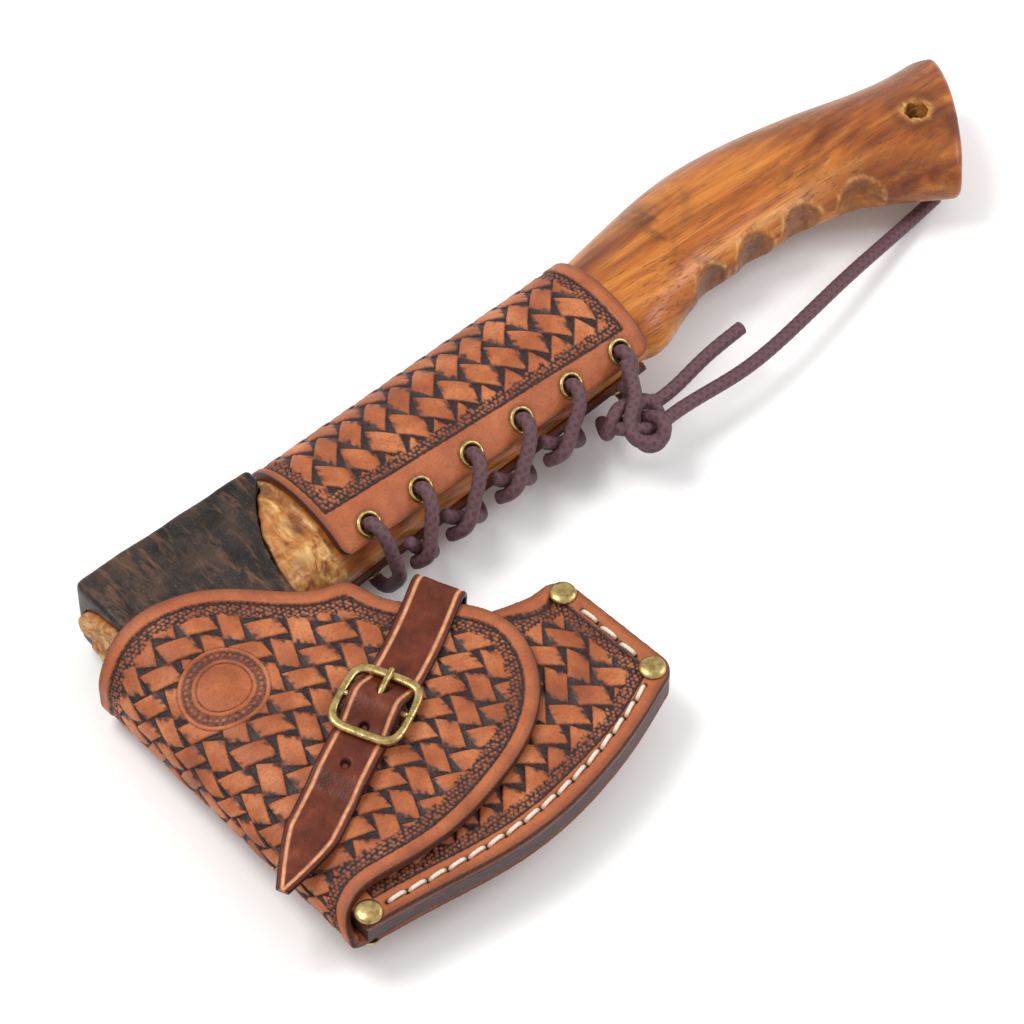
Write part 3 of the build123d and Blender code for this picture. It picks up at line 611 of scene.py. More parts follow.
def beads(x, y):
    """Domes of a pebbled background: height 0 to 1 and a random number per pebble."""
    row = BEAD * 0.866
    j0 = np.floor(y / row)
    best = np.full(x.shape, 9.0)
    tag = np.zeros(x.shape)
    for dj in (-1, 0, 1, 2):
        j = j0 + dj
        shift = 0.5 * (j % 2)
        i0 = np.round(x / BEAD - shift)
        for di in (-1, 0, 1):
            i = i0 + di
            cx = (i + shift + 0.36 * (hashed(i, j) - 0.5)) * BEAD
            cy = (j + 0.36 * (hashed(i, j, 3) - 0.5)) * row
            r = np.hypot(x - cx, y - cy) / (BEAD * (0.46 + 0.12 * hashed(i, j, 5)))
            near = r < best
            best = np.where(near, r, best)
            tag = np.where(near, hashed(i, j, 7), tag)
    return np.sqrt(np.clip(1 - best**2, 0, 1)), tag


def tooling(a, b, u, v, gap, band, pebbles):
    """Relief in mm and shading of tooled leather; gap is the distance in from the cut edge."""
    inner = gap - band
    cloth, woven = weave(a, b)
    dome, tag = beads(u, v)
    ragged = pebbles + 1.6 * (tag - 0.5) + 0.8 * value_noise(u / 3.0, v / 3.0, 2)
    in_pebbles = 1 - smooth(ragged - 0.25, ragged + 0.25, inner)
    height = 1.0 * cloth * (1 - in_pebbles) + in_pebbles * (-0.95 + 0.62 * dome)
    dark = woven * (1 - in_pebbles) + in_pebbles * (0.98 - 0.62 * smooth(0.25, 0.95, dome))
    groove = bell(inner - 0.45, 0.5)
    height = (height - 0.12) * (1 - groove) - 1.05 * groove
    dark = np.maximum(dark, groove)
    plain = 1 - smooth(-0.35, 0.1, inner)
    height = height * (1 - plain)
    dark = dark * (1 - plain) + plain * 0.35 * smooth(-1.3, 0.1, inner)
    height = height + 0.07 * value_noise(u / 6, v / 6) + 0.03 * value_noise(u / 1.7, v / 1.7, 4)
    return height, dark, plain


def edge_drop(gap):
    """Rounding of a cut edge."""
    d = np.clip(gap, 0, EDGE_ROUND)
    return EDGE_ROUND - np.sqrt(np.clip(EDGE_ROUND**2 - (EDGE_ROUND - d) ** 2, 0, None))


def edge_dye(gap):
    """Dark dye on the cut edge, with a weaker stain that runs a few mm in from it."""
    return np.maximum(1 - smooth(0.35, 1.15, gap), 0.4 * (1 - smooth(0.9, 3.4, gap)))


def leather_sheet(name, base, normal, height, gap, keep, dark, plain, body, nodes, flip=False):
    """Tooled sheet of even thickness whose outer face is the grid base with the relief height."""
    top = base + normal * (height - edge_drop(gap))[..., None]
    bottom = base - normal * LEATHER
    verts, faces = shell(top, bottom, keep, flip)
    attrs = {"rest": np.concatenate([base.reshape(-1, 3), bottom.reshape(-1, 3)]) * MM}
    for key, face, under in (("dark", dark, 0.25), ("band", plain, 1.0), ("burnish", edge_dye(gap), 0.3)):
        attrs[key] = np.concatenate([face.ravel(), np.full(face.size, under)])
    return make_piece(name, verts, [faces], "tooled_leather", body, nodes, attrs)


def emblem_stamp(x, y, height, dark):
    """Plain round stamp: a smooth disc inside two raised rings with a row of dots."""
    r = np.hypot(x - EMBLEM[0], y - EMBLEM[1])
    inside_disc = 1 - smooth(EMBLEM_RADIUS - 0.2, EMBLEM_RADIUS + 0.5, r)
    turn = np.arctan2(y - EMBLEM[1], x - EMBLEM[0])
    relief = -0.3 + 0.25 * bell(r - 14.4, 0.5) + 0.25 * bell(r - 9.6, 0.5)
    shade = 0.35 * smooth(9.9, 10.4, r) * (1 - smooth(13.4, 13.9, r))
    for ring in (10.5, 13.5, 15.2, 8.8):
        cut = bell(r - ring, 0.28)
        relief = relief - 0.35 * cut
        shade = np.maximum(shade, 0.75 * cut)
    count = 36
    phase = (turn / (2 * math.pi) * count) % 1 - 0.5
    dot = np.hypot(phase * 2 * math.pi * 12 / count, r - 12.0)
    relief = relief + 0.32 * bell(dot, 0.62)
    shade = shade + 0.3 * bell(dot - 1.0, 0.4) * smooth(10.6, 11, r) * (1 - smooth(13, 13.4, r))
    outer = 1 - inside_disc
    return height * outer + relief * inside_disc, dark * outer + shade * inside_disc


STEP = 0.42


def weave_coords(u, v, origin, turn, block):
    """Lattice coordinates of the stamping: origin is the middle of one steep block, turn its short axis."""
    c, d = math.cos(math.radians(turn)), math.sin(math.radians(turn))
    x, y = (u - origin[0]) / block, (v - origin[1]) / block
    return x * c + y * d + 3.5, y * c - x * d + 1.0


def heel_outline():
    return [arc3(DIP[-1], (93.2, -103.6), HEEL[0]), line(HEEL[0], HEEL[1]), arc3(HEEL[1], HEEL[2], HEEL[3]),
            spline(EDGE)]


# ---- sheath: flap, fold and back panel as one wrapped sheet ----
def toe_lift(y):
    """How far the fold's upper side rises toward the toe."""
    return 2.0 * smooth(-128, -166, y)


def wrap_panel():
    upper_run, lower_run = 29.0, 10.0
    front_x, rear_x = FOLD_X + upper_run, FOLD_X + lower_run
    flap_far, back_far, wall_length = 72, 102, 66
    y = np.arange(-180, -24, STEP)
    flap_x = np.arange(0, flap_far - front_x, STEP)[::-1] + front_x
    back_x = np.arange(0, back_far - rear_x, STEP) + rear_x
    wall_n = int(wall_length / STEP)
    t = (np.arange(wall_n) + 1) / (wall_n + 1)
    spread = lambda *row: np.repeat(np.concatenate(row)[None], len(y), 0)
    Y = np.repeat(y[:, None], len(flap_x) + wall_n + len(back_x), 1)
    X = spread(flap_x, np.full(wall_n, FOLD_X), back_x)
    part = spread(0 * flap_x, np.ones(wall_n), 0 * back_x + 2)
    T = spread(0 * flap_x, t, 0 * back_x + 1)

    flap_edge = np.concatenate([spline(MOUTH), spline(FLAP_EDGE)])
    back_edge = np.concatenate(
        [spline(MOUTH), spline(DIP)] + heel_outline() + [line(EDGE[-1], (FOLD_X, CUT_Y))])

    def closed(edge, low):
        left = [(FOLD_X - 9, low), (FOLD_X - 9, -31.5)]
        return np.concatenate([edge, line(edge[-1], left[0], 1.0), line(left[0], left[1], 1.0)])

    mouth_pts, toe_pts = spline(MOUTH), spline(FLAP_EDGE)[::-1]

    # the fold's section: quarter ellipse, straight wall, quarter ellipse, walked by share of length
    def section(y, tt):
        z_top = FLAP_TOP + SLOPE * (y - FLAP_Y) + LEATHER + toe_lift(y)
        z_low = np.maximum(INNER + BACK_SLOPE * (y - TOE_Y), INNER) + LEATHER
        tall = z_top + z_low
        b1, b2 = 0.52 * tall, 0.3 * tall
        l1 = math.pi / 2 * np.sqrt((upper_run**2 + b1**2) / 2)
        l3 = math.pi / 2 * np.sqrt((lower_run**2 + b2**2) / 2)
        l2 = tall - b1 - b2
        s = tt * (l1 + l2 + l3)
        p = np.clip(s / l1, 0, 1) * math.pi / 2
        q = np.clip((s - l1 - l2) / l3, 0, 1) * math.pi / 2
        down = np.clip(s - l1, 0, l2)
        x = FOLD_X + upper_run * (1 - np.sin(p)) + lower_run * (1 - np.cos(q))
        z = z_top - b1 * (1 - np.cos(p)) - down - b2 * np.sin(q)
        nx = np.where(q > 0, -np.cos(q) * b2, -np.sin(p) * b1)
        nz = np.where(q > 0, -np.sin(q) * lower_run, np.cos(p) * upper_run)
        size = np.hypot(nx, nz)
        return x, z, nx / size, nz / size, s, l1 + l2 + l3

    def wall_limits(yy, tt):
        x = section(yy, tt)[0]
        high = np.interp(x, mouth_pts[:, 0], mouth_pts[:, 1])
        low = np.interp(x, toe_pts[:, 0], toe_pts[:, 1])
        return high, low + (CUT_Y - low) * smooth(0.45, 0.8, tt)

    cx, cy, ct = cell_mid(X), cell_mid(Y), cell_mid(T)
    cell_part = np.where(ct <= 0, 0, np.where(ct >= 1, 2, 1))
    high, lowest = wall_limits(cy, ct)
    on_flap = inside(closed(flap_edge, FLAP_EDGE[-1][1]), cx, cy)
    on_back = inside(closed(back_edge, CUT_Y), cx, cy)
    on_wall = (cy < high) & (cy > lowest)
    keep = np.where(cell_part == 0, on_flap, np.where(cell_part == 2, on_back, on_wall))
    rim = rim_of(keep)
    for which, edge, limit in ((0, flap_edge, front_x), (2, back_edge, rear_x)):
        pick = rim & (part == which)
        sx, sy, _ = nearest(edge, X[pick], Y[pick])
        X[pick], Y[pick] = np.maximum(sx, limit), sy
    pick = rim & (part == 1)
    high, lowest = wall_limits(Y[pick], T[pick])
    Y[pick] = np.where(np.abs(Y[pick] - high) < np.abs(Y[pick] - lowest), high, lowest)

    used = used_by(keep)
    gap = np.full(X.shape, 30.0)
    for which, edge in ((0, flap_edge), (2, back_edge)):
        pick = used & (part == which)
        gap[pick] = nearest(edge, X[pick], Y[pick])[2]
    high, lowest = wall_limits(Y, T)
    wall_gap = np.minimum(high - Y, Y - lowest)
    gap = np.clip(np.where(part == 1, wall_gap, gap), 0, None)

    wx, wz, nx, nz, s, total = section(Y, T)
    z_flap = section(Y, 0 * T)[1]
    lift_out = toe_lift(Y) * smooth(-20, 45, X)
    bulge = 0.2 * smooth(14, 45, gap) * smooth(front_x, front_x + 25, X)
    opened = np.minimum(INNER + BACK_SLOPE * (Y - TOE_Y), facet_height(X, Y, BACK_SLOPE))
    z_back = np.maximum(INNER, opened) + LEATHER
    px = np.where(part == 1, wx, X)
    pz = np.where(part == 1, wz, np.where(part == 0, z_flap + bulge - lift_out, -z_back))
    base = np.stack([px, Y, pz], -1)
    normal = np.stack([np.where(part == 1, nx, 0), np.where(part == 0, -SLOPE, 0),
                       np.where(part == 1, nz, np.where(part == 0, 1.0, -1.0))], -1)
    normal /= np.linalg.norm(normal, axis=-1)[..., None]

    U = np.where(part == 0, X, np.where(part == 1, front_x - s, front_x - total - (X - rear_x)))
    a, b = weave_coords(U, Y, origin=(30.95, -126.9), turn=-24.0, block=BLOCK)
    height, dark, plain = tooling(a, b, U, Y, gap, band=5.6, pebbles=5.4)
    h2, d2 = emblem_stamp(U, Y, height, dark)
    height, dark = np.where(part < 2, h2, height), np.where(part < 2, d2, dark)
    obj = leather_sheet("sheath_leather", base, normal, height, gap, keep, dark, plain, None,
                        ["sheath_flap", "sheath_back"])
    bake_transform(obj)


def facet_height(x, y, slope):
    """Height of the bent heel facet above the mid-plane, inner face."""
    high = np.array([74.5, -103.0, INNER - slope * (TOE_Y + 103.0)])
    low = np.array([85.2, -110.0, INNER])
    end = np.array([75.5, TOE_Y, INNER])
    n = np.cross(low - high, end - high)
    return high[2] - (n[0] * (x - high[0]) + n[1] * (y - high[1])) / n[2]


def soft(p, q, k):
    """Rounded maximum of two heights; soft_min is the rounded minimum."""
    return 0.5 * (p + q + np.sqrt((p - q) ** 2 + k * k))


def soft_min(p, q, k):
    return 0.5 * (p + q - np.sqrt((p - q) ** 2 + k * k))


# ---- stitched front panel ----
def front_panel():
    edge = np.concatenate(
        [line((-46.5, -126), (40, -96)), spline([(40, -96), (62.5, -99), DIP[-2], DIP[-1]])] + heel_outline()
        + [line(EDGE[-1], (-46.5, -126))])
    x = np.arange(-48, 101, STEP)
    y = np.arange(-179, -92, STEP)
    X, Y = np.meshgrid(x, y)
    keep = inside(edge, cell_mid(X), cell_mid(Y))
    rim = rim_of(keep)
    X[rim], Y[rim], _ = nearest(edge, X[rim], Y[rim])
    used = used_by(keep)
    gap = np.full(X.shape, 30.0)
    gap[used] = nearest(edge, X[used], Y[used])[2]
    wedge = INNER + SLOPE * (Y - TOE_Y)
    inner = soft(np.full(X.shape, INNER), soft_min(wedge, facet_height(X, Y, SLOPE), 0.5), 0.15)
    z = inner + LEATHER
    seam = np.concatenate([line(*SEAM_HEEL), spline(SEAM_EDGE)])
    seam_gap = np.full(X.shape, 30.0)
    near = used & (gap < 14)
    seam_gap[near] = nearest(seam, X[near], Y[near])[2]
    # the lower side carries a wider plain band than the heel side
    band = 7.4 + 1.2 * smooth(75, 40, X)
    upper = smooth(-112, -104, Y)
    band = band * (1 - upper) + 4.2 * upper
    a, b = weave_coords(X, Y, origin=(74.0, -135.0), turn=-39.0, block=7.8)
    height, dark, plain = tooling(a, b, X, Y, gap, band, pebbles=5.0)
    channel = bell(seam_gap, 0.9)
    height = height - 0.35 * channel
    # painted shade in the stitch groove
    dark = dark + 0.35 * channel
    for cx, cy, turn in stitch_places():
        for sign in (-1, 1):
            ex = cx + sign * math.cos(turn) * STITCH_PITCH / 2
            ey = cy + sign * math.sin(turn) * STITCH_PITCH / 2
            spot = np.exp(-(((X - ex) ** 2 + (Y - ey) ** 2) / 0.75))
            height = height - 0.8 * spot
            # painted shade down in each stitch hole
            dark = np.maximum(dark, 1.1 * spot)
            plain = plain * (1 - spot)
    base, upright = np.stack([X, Y, z], -1), np.array([0, 0, 1.0])
    plain = plain * (1 - channel)
    leather_sheet("front_panel_leather", base, upright, height, gap, keep, dark, plain, "sheath",
                  ["sheath_front"])


def stitch_places():
    places = []
    for seam in (line(*SEAM_HEEL), spline(SEAM_EDGE)):
        run = run_along(seam)
        count = int(run[-1] / STITCH_PITCH)
        for k in range(count):
            at = (k + 0.5) / count * run[-1]
            p = [np.interp(at, run, seam[:, i]) for i in (0, 1)]
            q = [np.interp(at + 0.3, run, seam[:, i]) for i in (0, 1)]
            places.append((p[0], p[1], math.atan2(q[1] - p[1], q[0] - p[0])))
    return places


# ---- collar ----
def haft_at(x):
    table = np.array(HAFT, float)
    return [np.interp(x, table[:, 0], table[:, k]) for k in (1, 2, 3)]


def around(x, angle, height):
    """Point on the collar at a station and an angle from +Z toward -Y, in degrees."""
    top, bottom, half = haft_at(x)
    g = COLLAR_GAP + LEATHER + height
    a = np.radians(angle)
    return np.stack(np.broadcast_arrays(
        x, (top + bottom) / 2 - ((top - bottom) / 2 + g) * np.sin(a), (half + g) * np.cos(a)), -1)


def collar_panel():
    round_way, length = 142, 148
    rows, cols = int(round_way / STEP), int(length / STEP)
    v = np.linspace(0, 1, rows)[:, None]
    u = np.linspace(0, 1, cols)[None]
    near, far = COLLAR_ENDS
    x0 = near + (far - near) * u + 0 * v
    slot_half = 10.6 - 7.0 * (x0 - 20) / 190
    half = haft_at(x0)[2] + COLLAR_GAP + LEATHER
    start = np.degrees(np.arccos(slot_half / half))
    angle = start - v * (2 * start + 180)
    mean_r = 24.5
    run = (start - angle) * math.pi / 180 * mean_r
    total = (2 * start + 180) * math.pi / 180 * mean_r
    side = np.minimum(run, total - run)
    round_r = 5.0
    inset = round_r - np.sqrt(np.clip(round_r**2 - np.clip(round_r - side, 0, None) ** 2, 0, None))
    x = near + inset + (far - near - 2 * inset) * u
    ends = np.minimum(x - near - inset, far - inset - x)
    gap = np.minimum(side, ends)
    # pattern border: narrow at the head, wider at the knob, widest along the eyelet rows
    inner = np.minimum(np.minimum(x - near - 3.4, far - 6.0 - x), side - (17.0 - 0.02 * (x - near)))
    s = run - total / 2
    a, b = weave_coords(x, -s, origin=(104.0, 62.0), turn=-45.0, block=8.1)
    height, dark, plain = tooling(a, b, x, s, inner, band=0.0, pebbles=4.6)
    base = around(x, angle, 0.0)
    outward = around(x, angle, 1.0) - base
    outward /= np.linalg.norm(outward, axis=-1)[..., None]
    keep = np.ones((rows - 1, cols - 1), bool)
    mid = cell_mid(base)
    near_eyelet = np.full(base.shape[:2], 20.0)
    for i_side in (1, -1):
        for ex, ea in EYELETS:
            centre = around(np.array(ex), np.array(ea), 0.0) * [1, 1, i_side]
            keep &= np.linalg.norm(mid - centre, axis=-1) > 3.7
            near_eyelet = np.minimum(near_eyelet, np.linalg.norm(base - centre, axis=-1))
    dent = bell(near_eyelet - 5.2, 0.7)
    height = height - 0.25 * dent
    # painted shade in the pressed ring round each eyelet's rim
    dark = dark + 0.4 * dent * plain
    leather_sheet("collar_leather", base, outward, height, gap, keep, dark, plain, "hatchet", ["collar"],
                  flip=True)


def seat_frame(x, angle, side):
    """Origin, along, down and outward directions of one eyelet."""
    p = around(np.array(x), np.array(angle), 0.1)
    along = around(np.array(x + 4.0), np.array(angle), 0.1) - around(np.array(x - 4.0), np.array(angle), 0.1)
    down = around(np.array(x), np.array(angle + 1.0), 0.1) - around(np.array(x), np.array(angle - 1.0), 0.1)
    n = np.cross(down, along)
    along, down, n = (w / np.linalg.norm(w) * [1, 1, side] for w in (along, down, n))
    return p * [1, 1, side], along, down, n


def lathe(origin, ex, ey, ez, profile, sides):
    """Surface of revolution about ez: profile is (radius, height) pairs from one end to the other."""
    ang = np.linspace(0, 2 * math.pi, sides, endpoint=False)
    r = np.array(profile, float)
    ring = (np.cos(ang)[:, None] * ex + np.sin(ang)[:, None] * ey)
    v = origin + r[:, 0][:, None, None] * ring[None] + r[:, 1][:, None, None] * ez
    return v.reshape(-1, 3), ring_quads(len(r), sides)


def ring_profile(inner, outer, height):
    """Rolled rim: a half-round bead from the outer foot over to the inner barrel."""
    mid, half = (inner + outer) / 2, (outer - inner) / 2
    t = np.linspace(0, math.pi, 12)
    bead = [(mid + half * math.cos(q), height * math.sin(q)) for q in t]
    return bead + [(inner, -2.6), (inner + 0.3, -2.6)]


def eyelets():
    rolled_rim = ring_profile(inner=3.2, outer=4.95, height=1.0)
    for side, name in ((1, "collar_eyelets_front"), (-1, "collar_eyelets_back")):
        parts = []
        for x, angle in EYELETS:
            p, along, down, n = seat_frame(x, angle, side)
            v, q = lathe(p - 0.15 * n, along, down, n, rolled_rim, sides=40)
            parts.append((v, [q if side > 0 else q[:, ::-1]], {}))
        make_joined(name + "_brass", parts, "brass", "hatchet", name)


# ---- cord ----
CORD_RADIUS = 2.6


def braid(s, angle):
    twist = 2 * math.pi * s / 7.0
    a = np.cos(4 * angle + 2 * twist)
    b = np.cos(4 * angle - 2 * twist)
    return 0.975 + 0.03 * np.maximum(a, b)


def cord_part(points, frayed=False):
    path = spline(points, 0.45)
    v, faces, s, ang = tube(path, CORD_RADIUS, 28, braid, caps=not frayed)
    relief = np.maximum(np.cos(4 * ang + 4 * math.pi * s / 7.0), np.cos(4 * ang - 4 * math.pi * s / 7.0))
    # painted shade in the grooves between the braid's strands
    dark = 0.45 * (1 - smooth(-0.3, 0.5, relief))
    rest = np.stack([s, ang * CORD_RADIUS, 0 * s], -1) * MM
    return v, faces, {"dark": dark, "rest": rest}


def lace_leg(i, side, height, lean, stop):
    x, start = EYELETS[i]
    origin, _, down, out = seat_frame(x, start, 1)
    points = []
    for d, h, f in [(0, -1.2, 0), (0, 0.9, 0), (1.3, 3.4, 0.02), (5.6, 4.9, 0.12)]:
        p = origin + out * h + down * d
        points.append((p[0] - lean * f, p[1], p[2]))
    mid = (start + 14 + 90) / 2
    at = lambda q, angle, h: tuple(around(np.array(q), np.array(float(angle)), h))
    points.append(at(x - 0.45 * lean, mid, 0.5 * (height + 4.8)))
    points.append(at(x - 0.75 * lean, 90, height))
    points.append(at(x - lean, stop, height if height < 5 else 4.6))
    return [(p[0], p[1], side * p[2]) for p in points]


def laces():
    bar = lace_leg(0, 1, height=7.6, lean=0, stop=118)[:6]
    paths = [bar + [(p[0], p[1], -p[2]) for p in reversed(bar[:5])]]
    for i in range(1, 5):
        lean = 15 if i == 1 else 22
        paths.append(lace_leg(i, 1, height=8.3, lean=lean, stop=101))
        paths.append(lace_leg(i, -1, height=3.0, lean=lean, stop=105))
    paths.append(lace_leg(5, 1, height=3.0, lean=8, stop=105)[:6])
    paths.append(lace_leg(5, -1, height=3.0, lean=8, stop=105)[:5])
    make_joined("collar_lace_cord", [cord_part(p) for p in paths], "cord", "hatchet", "collar_lace")
    loop = []
    for k in range(25):
        t = 2 * math.pi * (k + 0.2) / 24
        loop.append((164.5 + 3.3 * (math.sin(t) + 2 * math.sin(2 * t)),
                     -67.0 + 3.2 * (math.cos(t) - 2 * math.cos(2 * t)), 1.0 - 3.2 * math.sin(3 * t)))
    bridge = [(173.0, -47.0, 12.5), (170.5, -54.0, 9.0), (166.0, -60.5, 7.0), (159.5, -65.5, 6.0),
              (156.5, -71.5, 3.5), (162.0, -76.0, 1.5), (169.0, -73.5, 0.0)]
    second = [(160.0, -50.0, -10.0), (155.0, -57.0, -4.0), (152.5, -62.0, 1.0), (157.0, -60.0, 5.5),
              (164.0, -58.5, 4.0), (170.5, -60.5, 2.0), (176.0, -61.5, 0.5)]
    knot = [cord_part(p) for p in (loop, bridge, second)]
    make_joined("lace_knot_cord", knot, "cord", "hatchet", "lace_knot")
    tail = [(172, -62.0, 0.5), (180.5, -61.6, 0), (200, -58.3, 0), (222, -56.0, 0)]
    make_joined("lace_tail_short_cord", [cord_part(tail, frayed=True)], "cord", "hatchet", "lace_tail_short")
    tail = [(170, -69.5, -1.5), (181.5, -68.2, -3), (211, -67.8, -6), (245, -63.2, -8), (277, -56.5, -11),
            (310, -49.5, -16.5), (333, -45, -19)]
    make_joined("lace_tail_long_cord", [cord_part(tail, frayed=True)], "cord", "hatchet", "lace_tail_long")


# ---- closure strap ----
def unit(v):
    v = np.array(v, float)
    return v / np.linalg.norm(v)


ALONG = (-math.cos(math.radians(STRAP_ANGLE)), -math.sin(math.radians(STRAP_ANGLE)))
MOUTH_AT = (BUCKLE_AT[0] - ALONG[0] * MOUTH_TO_BUCKLE, BUCKLE_AT[1] - ALONG[1] * MOUTH_TO_BUCKLE)
FACE_O = np.array([MOUTH_AT[0], MOUTH_AT[1], 16.6 + SLOPE * (MOUTH_AT[1] + 28) + LEATHER])
FACE_Z = unit((0, -SLOPE, 1))
FACE_X = unit((ALONG[0], ALONG[1], ALONG[1] * SLOPE))
FACE_Y = np.cross(FACE_Z, FACE_X)


def on_strap(s, t, h):
    """Point at s along the strap from the mouth, t across it and h above the flap."""
    along, over = np.multiply.outer(s, FACE_X), np.multiply.outer(t, FACE_Y)
    return FACE_O + along + over + np.multiply.outer(h, FACE_Z)


def strap_profile():
    """Middle line of the strap in its own (s, h) plane, from the tip round the mouth to the back leg."""
    wave = [(132.0, 1.1), (94.0, 1.1), (84.0, 3.7), (72.5, 3.7), (68.6, 2.9), (MOUTH_TO_BUCKLE, 8.4),
            (43.0, 1.1), (3.5, 1.1)]
    points = []
    for (s1, h1), (s2, h2) in zip(wave, wave[1:]):
        n = max(2, int(abs(s1 - s2) / 0.5))
        for k in range(n):
            t = k / n
            points.append((s1 + (s2 - s1) * t, h1 + (h2 - h1) * (t * t * (3 - 2 * t))))
    r = 4.95
    cx, cz = -2.4 + 0.95 + r, 1.1 - r
    points += [(cx + r * math.cos(q), cz + r * math.sin(q)) for q in np.linspace(math.pi / 2, math.pi, 16)]
    low = -31 - 0.95 + r
    points += [(cx - r, cz + (low - cz) * t) for t in np.linspace(0.03, 0.97, 40)]
    points += [(cx + r * math.cos(q), low + r * math.sin(q)) for q in np.linspace(math.pi, 1.5 * math.pi, 16)]
    points += [(cx + (14.0 - cx) * t, low - r) for t in np.linspace(0.1, 1, 20)]
    return np.array(points)


def strap_piece():
    mid = strap_profile()
    run = run_along(mid)
    s_even = np.arange(0, run[-1], 0.5)
    p = np.stack([np.interp(s_even, run, mid[:, i]) for i in (0, 1)], 1)
    for _ in range(4):
        p[1:-1] = 0.25 * p[:-2] + 0.5 * p[1:-1] + 0.25 * p[2:]
    tangent = np.gradient(p, axis=0)
    tangent /= np.linalg.norm(tangent, axis=1)[:, None]
    out = np.stack([tangent[:, 1], -tangent[:, 0]], 1)
    half_t, half_w, half_tip, tip_length = 0.95, 9.5, 2.4, 24.0
    tip = np.clip((tip_length - s_even) / tip_length, 0, 1)
    width = half_w - (half_w - half_tip) * tip ** 1.25
    # closed section: across the top, round the edge, back along the underside
    across = np.linspace(-1, 1, 49)
    section = np.array([(c, 1.0) for c in across] + [(c, -1.0) for c in across[::-1]])
    A = np.repeat(section[None, :, 0], len(p), 0)
    side = np.repeat(section[None, :, 1], len(p), 0)
    W = width[:, None]
    t = A * W
    edge = W - np.abs(t)
    round_off = 0.55 * (1 - np.sqrt(np.clip(1 - (1 - np.clip(edge / 0.8, 0, 1)) ** 2, 0, 1)))
    crease_gap = edge - 2.3
    crease = np.exp(-((crease_gap / 0.62) ** 4)) * (side > 0)
    h = side * (half_t - round_off) - 0.28 * crease
    S = np.repeat(s_even[:, None], A.shape[1], 1)
    along_s = np.repeat(p[:, :1], A.shape[1], 1)
    # the two holes and the slot are painted dark: their dyed cut walls and painted shade down inside them
    hole_dye_and_shade = np.zeros(A.shape)
    front_leg = (np.repeat(tangent[:, :1], A.shape[1], 1) < -0.5) & (np.repeat(p[:, 1:], A.shape[1], 1) > -5)
    for hs in (65.6, 81.0):
        r = np.hypot(along_s - hs, t)
        spot = np.exp(-((r / 1.55) ** 4)) * front_leg
        h = np.where(side > 0, h - 2.2 * spot, h)
        hole_dye_and_shade = np.maximum(hole_dye_and_shade, np.exp(-((r / 2.0) ** 4)) * front_leg * (side > 0))
    slot = np.hypot(np.clip(np.abs(along_s - 50.4) - 1.8, 0, None), t)
    spot = np.exp(-((slot / 1.7) ** 4)) * front_leg
    h = np.where(side > 0, h - 1.3 * spot, h)
    hole_dye_and_shade = np.maximum(hole_dye_and_shade, spot * (side > 0))
    h = h + 0.12 * value_noise(S / 5, t / 5, 9) * (side > 0)
    centre_s = p[:, :1] + out[:, :1] * h
    centre_h = p[:, 1:] + out[:, 1:] * h
    sway = plan_sway(centre_s)
    verts = on_strap(centre_s, t + sway, centre_h).reshape(-1, 3)
    rows, cols = A.shape
    quads = np.roll(ring_quads(rows, cols)[:, ::-1], 1, axis=1)
    ends = [np.arange(cols)[None], (np.arange(cols)[::-1] + (rows - 1) * cols)[None]]
    # the burnish attribute carries the dyed edges and also the painted shade in the holes and the slot
    burnish = np.maximum(1 - smooth(0.15, 0.75, edge), hole_dye_and_shade)
    rest = np.stack([S, t, side * half_t], -1).reshape(-1, 3) * MM
    attrs = {"crease": (crease * (1 - hole_dye_and_shade)).ravel(), "burnish": burnish.ravel(), "rest": rest}
    obj = make_piece("closure_strap", verts, [quads] + ends, "strap_leather", None, ["strap_front"], attrs)
    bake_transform(obj)


def plan_sway(s):
    """Sideways drift of the strap in plan along its length."""
    return 1.4 * np.sin(np.clip((s - 3) / 53, 0, 1) * math.pi) * (s > 3)


# ---- buckle, rivets and thread ----
def plain_wire(s, angle):
    return 1 + 0 * s


